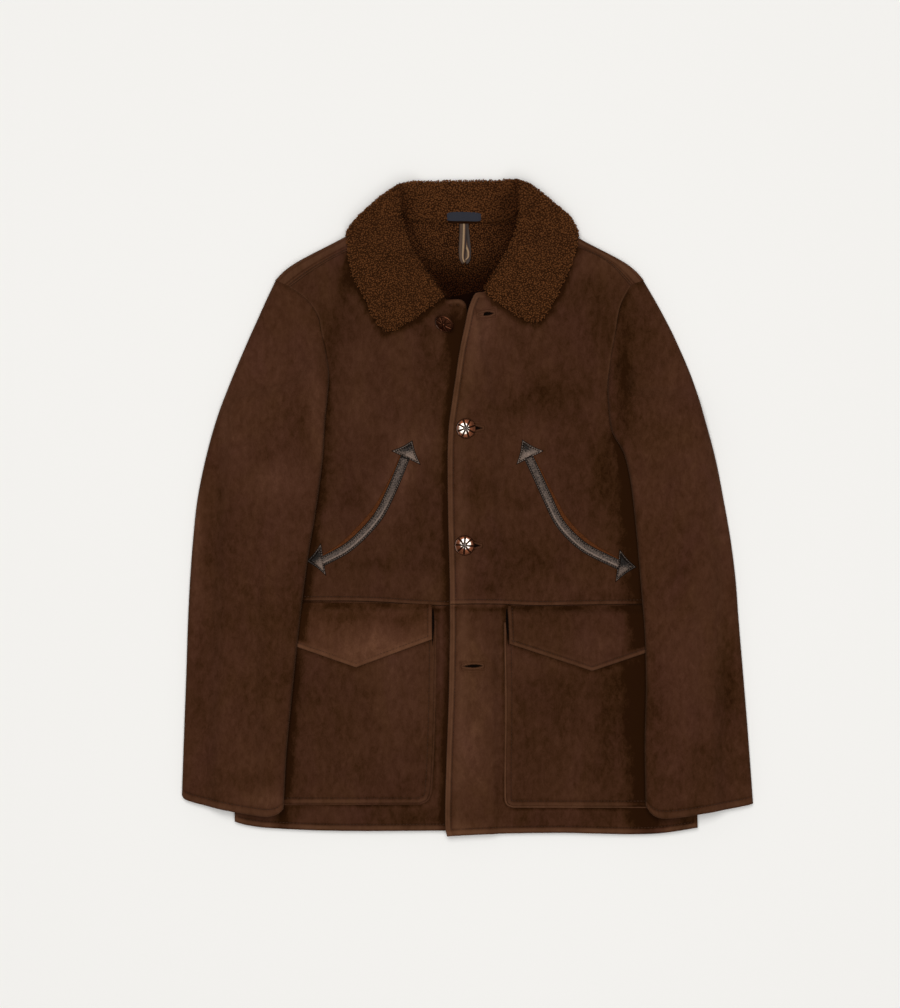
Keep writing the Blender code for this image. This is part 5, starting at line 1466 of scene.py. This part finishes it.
def pocket(side):
    """The patch, its bellows edge as a narrow rounded fold beside it, and at the mouth's end the slit, a thin
    sheet of painted shadow. The patch has a painted highlight along its edge ridge and painted shade in its
    stitch groove and beside the lines where other parts shade it.
    """
    shape, word = POCKET[side], WORD[side]
    bottom, mouth_y = shape["outer"][-1][1], shape["top"][0][1]
    border = chain(shape["inner"], [shape["inner"][-1], shape["outer"][-1]])
    inset = offset(border, side * GUSSET_WIDE)
    inner, lower = inset[:160], inset[159:]
    inner[0, 1] = mouth_y
    outer = curve(shape["outer"])
    outer[-1] = lower[-1]
    grid = patch(np.linspace(inner[0], outer[0], 60), lower, inner, outer, POCKET_SPACING)
    x, y = grid[..., 0], grid[..., 1]
    row = offset(border, side * (GUSSET_WIDE + POCKET_STITCH))
    away = line_distance(x, y, inset)
    lowest = step((bottom + 16.0 - y) / 12.0)
    sunk = stitched(x, y, [(row, 0.25 + 0.40 * lowest)])
    ridge = (0.15 + 0.75 * lowest) * bell(away - 2.4, 2.2)
    high = surface(x, y, side) + GAP + POCKET_TOP - sunk + 0.6 * ridge + 0.5 * step(away / 60.0)
    finish = suede(f"suede_pocket_{word}", (0.9 * side, 1.3, 0.5), 0.97)
    made = panel(
        f"pocket_{word}_patch", grid, front_top(x, y, side) + GAP, high, [finish], "suede",
        (0.8, 1.3, 1.3, 1.3), [f"pocket_{word}"], 0.5 * ridge - GROOVE_DARK * sunk - pressed(x, y, side),
    )
    rows = [on_front(row[4:-2], side, GAP + POCKET_TOP - 0.25)]
    stitches(f"pocket_{word}_stitches", rows, seam_thread, "suede")

    grid = ribbon(border[2::2], 0.0, side * (GUSSET_WIDE + 1.2), GUSSET_COLUMNS)
    x, y = grid[..., 0], grid[..., 1]
    a = np.linspace(0.0, 1.0, GUSSET_COLUMNS)[None]
    open_up = step((y - shape["slit"][-1][1]) / 20.0) * (y > -200.0)
    high = surface(x, y, side) + GAP + 0.4 + (1.3 + 1.5 * open_up) * np.sin(np.pi * a**0.8) ** 0.7
    # A painted highlight along the top of the fold, stronger on the left pocket.
    rub = (1.0 if side > 0 else 0.15) * bell(a - 0.5, 0.35) + 0 * x
    made = panel(
        f"pocket_{word}_bellows", grid, front_top(x, y, side) + GAP, high, [finish], "suede",
        (0.3,) * 4, [f"pocket_{word}"], rub,
    )

    # The slit: a thin sheet of painted shadow in the mouth.
    half = SLIT_HALF * np.sin(np.pi * np.linspace(0.02, 0.98, 40) ** 0.7)
    grid = ribbon(curve(shape["slit"], 40), -half, half, 7)
    x, y = grid[..., 0], grid[..., 1]
    high = surface(x, y, side) + GAP + 0.4 + (POCKET_TOP + 0.5) * step((mouth_y - y + 3.0) / 3.0)
    points = np.dstack([grid, high]).reshape(-1, 3)
    mesh_piece(f"pocket_{word}_slit", points, grid_faces(*x.shape), [slot_dark], "suede")


for side in (-1, 1):
    pocket(side)


# ---------------------------------------------------------------- pocket flaps
# Pointed flaps of two thicknesses of skin, caught in the waist seam. The edge is crisp, turned and stitched,
# and the middle bends down over the pocket's mouth.

FLAP = {
    -1: {
        "top": [(-225.0, -113.6), (-133.0, -114.0), (-42.8, -115.4)],
        "left": [(-225.0, -113.6), (-225.0, -159.6)],
        "right": [(-42.8, -115.4), (-42.4, -157.6)],
        "point": (-133.8, -191.4),
    },
    1: {
        "top": [(48.2, -117.6), (149.0, -117.4), (249.0, -117.0)],
        "left": [(48.2, -117.6), (50.2, -163.0)],
        "right": [(249.0, -117.0), (249.0, -162.0)],
        "point": (149.4, -195.6),
    },
}
FLAP_REST, FLAP_RAMP = 15.0, 9.0
FLAP_STITCH, FLAP_SPACING = 5.2, 3.0
FLAP_TOP = 0.9 * FLAP_THICK
# The pale lower edge is a painted highlight.
FLAP_LOOK = {-1: (0.35, 0.36, 1.20), 1: (0.65, 0.22, 0.97)}  # stitches' depth, pale lower edge, tone


def on_patch(y, side):
    """How far the flap has climbed on to the patch, below the pocket's mouth."""
    return step((POCKET[side]["top"][0][1] + FLAP_REST - y) / FLAP_RAMP) * (POCKET_THICK + GAP)


def flap(side):
    """The flap over the pocket: it climbs on to the patch below the mouth, is drawn down along its stitches
    and stands a little proud along its turned edge."""
    shape, word = FLAP[side], WORD[side]
    seam_deep, lit, tone = FLAP_LOOK[side]
    left, right, top = curve(shape["left"]), curve(shape["right"]), curve(shape["top"])
    point = np.array(shape["point"])
    lower = np.vstack([np.linspace(left[-1], point, 80), np.linspace(point, right[-1], 80)[1:]])
    grid = patch(top, lower, left, right, FLAP_SPACING)
    x, y = grid[..., 0], grid[..., 1]
    edge = np.vstack([left, lower[1:], right[::-1][1:]])
    row = offset(edge, FLAP_STITCH)
    away = line_distance(x, y, edge)
    below = top[:, 1].mean() - y
    sunk = stitched(x, y, [(row, seam_deep)])
    ridge = bell(away - 2.2, 2.0)
    # Painted shade beside the lines where other parts shade the flap, and a wavy painted shadow under the
    # waist seam at its top; a painted highlight along the turned edge and over the lower edge.
    beside = pressed(x, y, side) * step((away - 4.0) / 6.0)
    beside = beside + (0.55 + 0.25 * np.sin(x / 9.0)) * bell(below - 2.0, 5.0)
    pale = 0.34 * ridge + lit * step((11.0 - line_distance(x, y, lower)) / 6.0)
    rest = surface(x, y, side) + GAP + on_patch(y, side)
    high = rest + FLAP_TOP - sunk + 0.45 * ridge - 0.8 * bell(below, 3.0)
    low = np.minimum(front_top(x, y, side) + GAP + on_patch(y, side), high - 1.2)
    finish = suede(f"suede_flap_{word}", (1.4 * side, 0.6, 0.9), tone)
    made = panel(f"flap_{word}_skin", grid, low, high, [finish], "suede", (0.8, 1.0, 1.0, 1.0),
                 [f"flap_{word}"], pale - GROOVE_DARK * sunk - beside)
    row = row[6:-6]
    rows = [on_front(row, side, GAP + on_patch(row[:, 1], side) + FLAP_TOP - 0.5)]
    stitches(f"flap_{word}_stitches", rows, seam_thread, "suede")


for side in (-1, 1):
    flap(side)


# ---------------------------------------------------------------- buttons
# Shank buttons of antiqued bronze: a rolled rim and a dome cut by eight radial grooves round a small stud.
# The second and third hold the coat shut. The top one is undone and leans on its shank.

BUTTON_RADIUS, BUTTON_PETALS, BUTTON_SIDES = 12.0, 8, 144
UNDONE_LEAN = 20.0  # leaning more, it is undone: no pale patch of wear and painted reflection, and less dark
DOME_RADIUS, STUD_RADIUS = 10.3, 1.4
BACK_RINGS = (  # from the rim down the wall and over the back: radius, height
    (BUTTON_RADIUS, 0.9), (BUTTON_RADIUS - 0.5, 0.25), (BUTTON_RADIUS - 1.6, 0.0), (2.2, 0.5), (0.02, 0.5),
)
# Node, x, y, lean in degrees, the way that it leans, the side it rests on, turn, and the way that its
# pale patch of wear and painted reflection reaches furthest.
SET_OF_BUTTONS = (
    ("button_1", -27.6, 221.4, 47.0, -122.0, -1, 0.3, 0.0),
    ("button_2", -1.8, 95.4, 3.2, -10.0, 1, 0.31, 185.0),
    ("button_3", -3.5, -44.8, 5.0, -130.0, 1, 0.71, 60.0),
    ("button_4", -1.8, -189.6, 0.0, 0.0, -1, 0.0, 120.0),
)


def bronze():
    """Worn bronze: a copper metal, pale and smoothest where it is worn and where a painted reflection of the
    lamp above lies, darkened where the dirt stays in the grooves and where painted shade lies, with fine
    scratches."""
    metal = Finish("antique_bronze", Metallic=1.0, Roughness=0.3)
    noise, bare = metal.noise(420.0, 4.0), metal.attribute("bare")
    warm = metal.blend(noise, (0.095, 0.029, 0.013), (0.200, 0.070, 0.034))
    pale = metal.blend(bare, warm, (0.44, 0.39, 0.34))
    metal.put(metal.times(bare, -0.26, 0.42), metal.shader.inputs["Roughness"])
    sooty = metal.blend(metal.attribute("soot"), pale, (0.020, 0.0085, 0.0045))
    return metal.finished(sooty, noise, 0.15, 0.0003)


bronze_metal = bronze()


def button(name, x, y, lean, towards, side, turned, worn):
    """The profile from the middle out, turned round the axis: stud, ring, petalled dome, rim, wall and
    back. Grooves cut the dome along eight rays, and the whole leans towards one side. The petals are pale
    furthest out on one side, wear with a painted reflection of the lamp above; the rim has a painted glint on
    its left and painted shade round the rest."""
    radius = np.r_[np.linspace(0.02, DOME_RADIUS, 24), np.linspace(DOME_RADIUS + 0.35, BUTTON_RADIUS, 14)]
    angle = np.linspace(0.0, 2 * np.pi, BUTTON_SIDES, endpoint=False)
    r, theta = np.meshgrid(radius, angle, indexing="ij")
    dome = 3.6 - 0.0135 * r**2 + 0.5 * bell(r, 0.9) - 0.5 * bell(r - STUD_RADIUS, 0.4)
    petal = np.abs(np.sin(BUTTON_PETALS / 2 * theta))
    ray = petal * 2 * r / BUTTON_PETALS
    cut = np.exp(-((ray / (0.66 + 0.018 * r)) ** 4))
    cut = cut * step((r - STUD_RADIUS) / 0.8) * step((DOME_RADIUS + 1.4 - r) / 1.2)
    swell = 0.06 * petal * step(r / 4.0) * step((DOME_RADIUS - r) / 2.0)
    across = np.clip((r - DOME_RADIUS) / (BUTTON_RADIUS - DOME_RADIUS), 0.0, 1.0)
    rim = 1.7 + 0.85 * np.sin(np.pi * np.clip(across * 0.85 + 0.1, 0, 1)) - 0.9 * across**4
    z = np.where(r <= DOME_RADIUS, dome + swell - 0.55 * cut, rim)
    soot = np.clip(1.1 * cut + 0.9 * bell(r - STUD_RADIUS, 0.35), 0, 1)
    soot = np.maximum(soot, 0.75 * bell(r - DOME_RADIUS - 0.2, 0.35))
    r = np.vstack([r] + [np.full((1, BUTTON_SIDES), ring[0]) for ring in BACK_RINGS])
    z = np.vstack([z] + [np.full((1, BUTTON_SIDES), ring[1]) for ring in BACK_RINGS])
    soot = np.vstack([soot, np.full((len(BACK_RINGS), BUTTON_SIDES), 0.25)])
    angle = angle + turned
    # A painted glint on the rim's left, painted shade round the rest of the rim, and the petals' pale patch
    # of wear and painted reflection; an undone button has no pale patch and is less dark.
    left = step((-np.cos(angle)[None] - 0.55) / 0.35)
    bare = step((6.9 + 2.6 * np.cos(angle - np.radians(worn))[None] - r) / 1.4) * (lean <= UNDONE_LEAN)
    bare = np.maximum(bare, 0.30 * left * bell(r - BUTTON_RADIUS + 0.9, 0.7))
    soot = np.clip(soot + 0.45 * step((r - DOME_RADIUS + 0.5) / 0.8) * (1 - left), 0.0, 1.0)
    if lean > UNDONE_LEAN:
        soot = 0.6 * soot
    points = np.stack([r * np.cos(angle), r * np.sin(angle), z], axis=-1).reshape(-1, 3)
    way, tilt = np.radians(towards), np.radians(lean)
    forward, sideways = np.array([np.cos(way), np.sin(way), 0.0]), np.array([-np.sin(way), np.cos(way), 0.0])
    ahead, beside = points @ forward, points @ sideways
    new_ahead = ahead * np.cos(tilt) + points[:, 2] * np.sin(tilt)
    new_up = -ahead * np.sin(tilt) + points[:, 2] * np.cos(tilt)
    points = new_ahead[:, None] * forward + beside[:, None] * sideways + new_up[:, None] * (0.0, 0.0, 1.0)
    floor = surface(x + points[:, 0], y + points[:, 1], side)
    points += (x, y, 0.0)
    points[:, 2] += (floor + 0.1 - points[:, 2]).max()
    faces = tube_faces(len(r), BUTTON_SIDES)
    mesh_piece(f"{name}_bronze", points, faces, [bronze_metal], "button_metal", [name], soot=soot, bare=bare)


for kind in SET_OF_BUTTONS:
    button(*kind)


# ---------------------------------------------------------------- hanging loop and label
# A leather ribbon, dark with a pale middle stripe, is folded in half under the neck seam, its back half
# showing beside the front one. Above it a plain navy woven label is sewn on the stand at both ends.

LOOP_PATH = [  # down the front half and back up behind, in three dimensions above the wool
    (-5.2, 341.0, 2.6), (-5.4, 330.0, 3.3), (-5.9, 318.0, 3.5), (-6.5, 306.0, 3.4), (-6.2, 299.0, 3.1),
    (-3.8, 294.8, 2.3), (-0.4, 297.4, 1.7), (0.2, 304.0, 1.3), (-0.6, 313.0, 1.3), (-2.2, 328.0, 1.2),
    (-3.4, 341.0, 1.1),
]
RIBBON_HALF, RIBBON_THICK = 4.6, 0.55
RIBBON_STRIPES = (  # place across, colour
    (0.00, (0.020, 0.011, 0.007)), (0.14, (0.066, 0.036, 0.022)), (0.34, (0.085, 0.047, 0.028)),
    (0.43, (0.014, 0.008, 0.005)), (0.50, (0.260, 0.165, 0.088)), (0.66, (0.320, 0.205, 0.112)),
    (0.75, (0.090, 0.036, 0.015)), (0.86, (0.014, 0.009, 0.008)), (1.00, (0.040, 0.026, 0.020)),
)
LABEL_SEWN = 0.475  # how far out its two ends are sewn down, as a share of its width


def striped_leather():
    """A ribbon whose colour goes by how far across it is: brown, a fine dark line, a pale stripe and a dark
    edge."""
    hide = Finish("loop_stripe", Roughness=0.65, Specular_IOR_Level=0.2)
    noise, stripes = hide.noise(900.0, 3.0), hide.ramp(hide.attribute("across"), RIBBON_STRIPES)
    worn = hide.blend(0.6, stripes, hide.times(noise, 1.2, 0.35), "MULTIPLY")
    return hide.finished(worn, noise, 0.3, 0.0003)


def hanging_loop():
    """A flat rounded section, carried along the path and turned on edge a little where it folds."""
    line = curve(LOOP_PATH, 110)
    share = np.linspace(0.0, 1.0, 110)
    way = unit(np.gradient(line, axis=0))
    level = unit(np.stack([np.ones(110), 0.06 * np.sin(6 * share), 0.15 * np.cos(9 * share)], axis=1))
    wide = unit(level - (level * way).sum(axis=1, keepdims=True) * way)
    up = np.cross(wide, way)
    a = np.linspace(-1.0, 1.0, 17)
    turn = np.r_[np.c_[a, np.sqrt(1.02 - a**2)], np.c_[a[::-1], -np.sqrt(1.02 - a[::-1] ** 2)]]
    narrow = 1.0 - 0.30 * bell(share - 0.5, 0.12)
    points = (
        line[:, None]
        + wide[:, None] * (RIBBON_HALF * turn[None, :, :1]) * narrow[:, None, None]
        + up[:, None] * (RIBBON_THICK * turn[None, :, 1:])
    )
    points[..., 2] += lift(points[..., 0], points[..., 1]) + BACK_TOP
    shift = 0.22 * step((share - 0.64) / 0.10) + 0.40 * bell(share - 0.535, 0.030)
    across = np.broadcast_to((turn[:, 0] + 1) / 2, points.shape[:2]) + shift[:, None]
    rows, around = points.shape[:2]
    half = around // 2
    faces = [tube_faces(rows, around)]
    for row, flip in ((0, 1), (rows - 1, -1)):
        one = row * around + np.arange(half)
        two = row * around + np.arange(around - 1, half - 1, -1)
        faces.append(np.stack([one[:-1], one[1:], two[1:], two[:-1]], axis=-1)[:, ::flip])
    made = mesh_piece("loop_ribbon", points.reshape(-1, 3), np.vstack(faces), [striped_leather()],
                      "loop_leather", ["hanging_loop"], across=across)


def navy_weave():
    """Navy cloth with a fine ribbed weave: two waves across each other."""
    cloth = Finish("navy_weave", Roughness=0.85, Specular_IOR_Level=0.2, Sheen_Weight=0.1)
    rib = cloth.node("ShaderNodeTexWave", {"bands_direction": "X"}, Vector=cloth.where, Scale=700.0)
    pick = cloth.node("ShaderNodeTexWave", {"bands_direction": "Y"}, Vector=cloth.where, Scale=550.0)
    weave = cloth.times(rib.outputs["Fac"], pick.outputs["Fac"])
    navy = cloth.blend(weave, (0.016, 0.017, 0.024), (0.042, 0.044, 0.058))
    return cloth.finished(navy, weave, 0.5, 0.0002)


def label():
    """A thin woven strip that dips a little between its sewn ends."""
    wide, tall = LABEL_SIZE
    u, v = np.meshgrid(np.linspace(-0.5, 0.5, 60), np.linspace(-0.5, 0.5, 20))
    bow = 0.35 * np.sin(5.0 * u + 0.6) * (1 - np.abs(2 * v))
    y = LABEL_MIDDLE[1] + tall * (1 - 0.30 * (2 * u) ** 6) * v + 0.7 - 2.2 * u**2 - 0.6 * u
    grid = np.dstack([LABEL_MIDDLE[0] + wide * u, y])
    high = collar_top(grid[..., 0], y) + 0.55 + bow - 0.5 * bell(np.abs(u) - LABEL_SEWN, 0.02)
    cloth = panel("label_weave", grid, high - 0.6, high, [navy_weave()], "label_cloth", (0.25,) * 4,
                  ["label"])
    y = np.linspace(LABEL_MIDDLE[1] - tall / 2 + 0.6, LABEL_MIDDLE[1] + tall / 2 - 0.6, 12)
    lines = [np.c_[np.full(12, LABEL_MIDDLE[0] + end * wide * LABEL_SEWN), y] for end in (-1, 1)]
    rows = [upright(line, collar_top(line[:, 0], y) + 0.35) for line in lines]
    navy_thread = thread("navy_thread", (0.03, 0.032, 0.045))
    stitches("label_stitches", rows, navy_thread, "label_cloth", 1.6, 1.2, 0.22)


hanging_loop()
label()
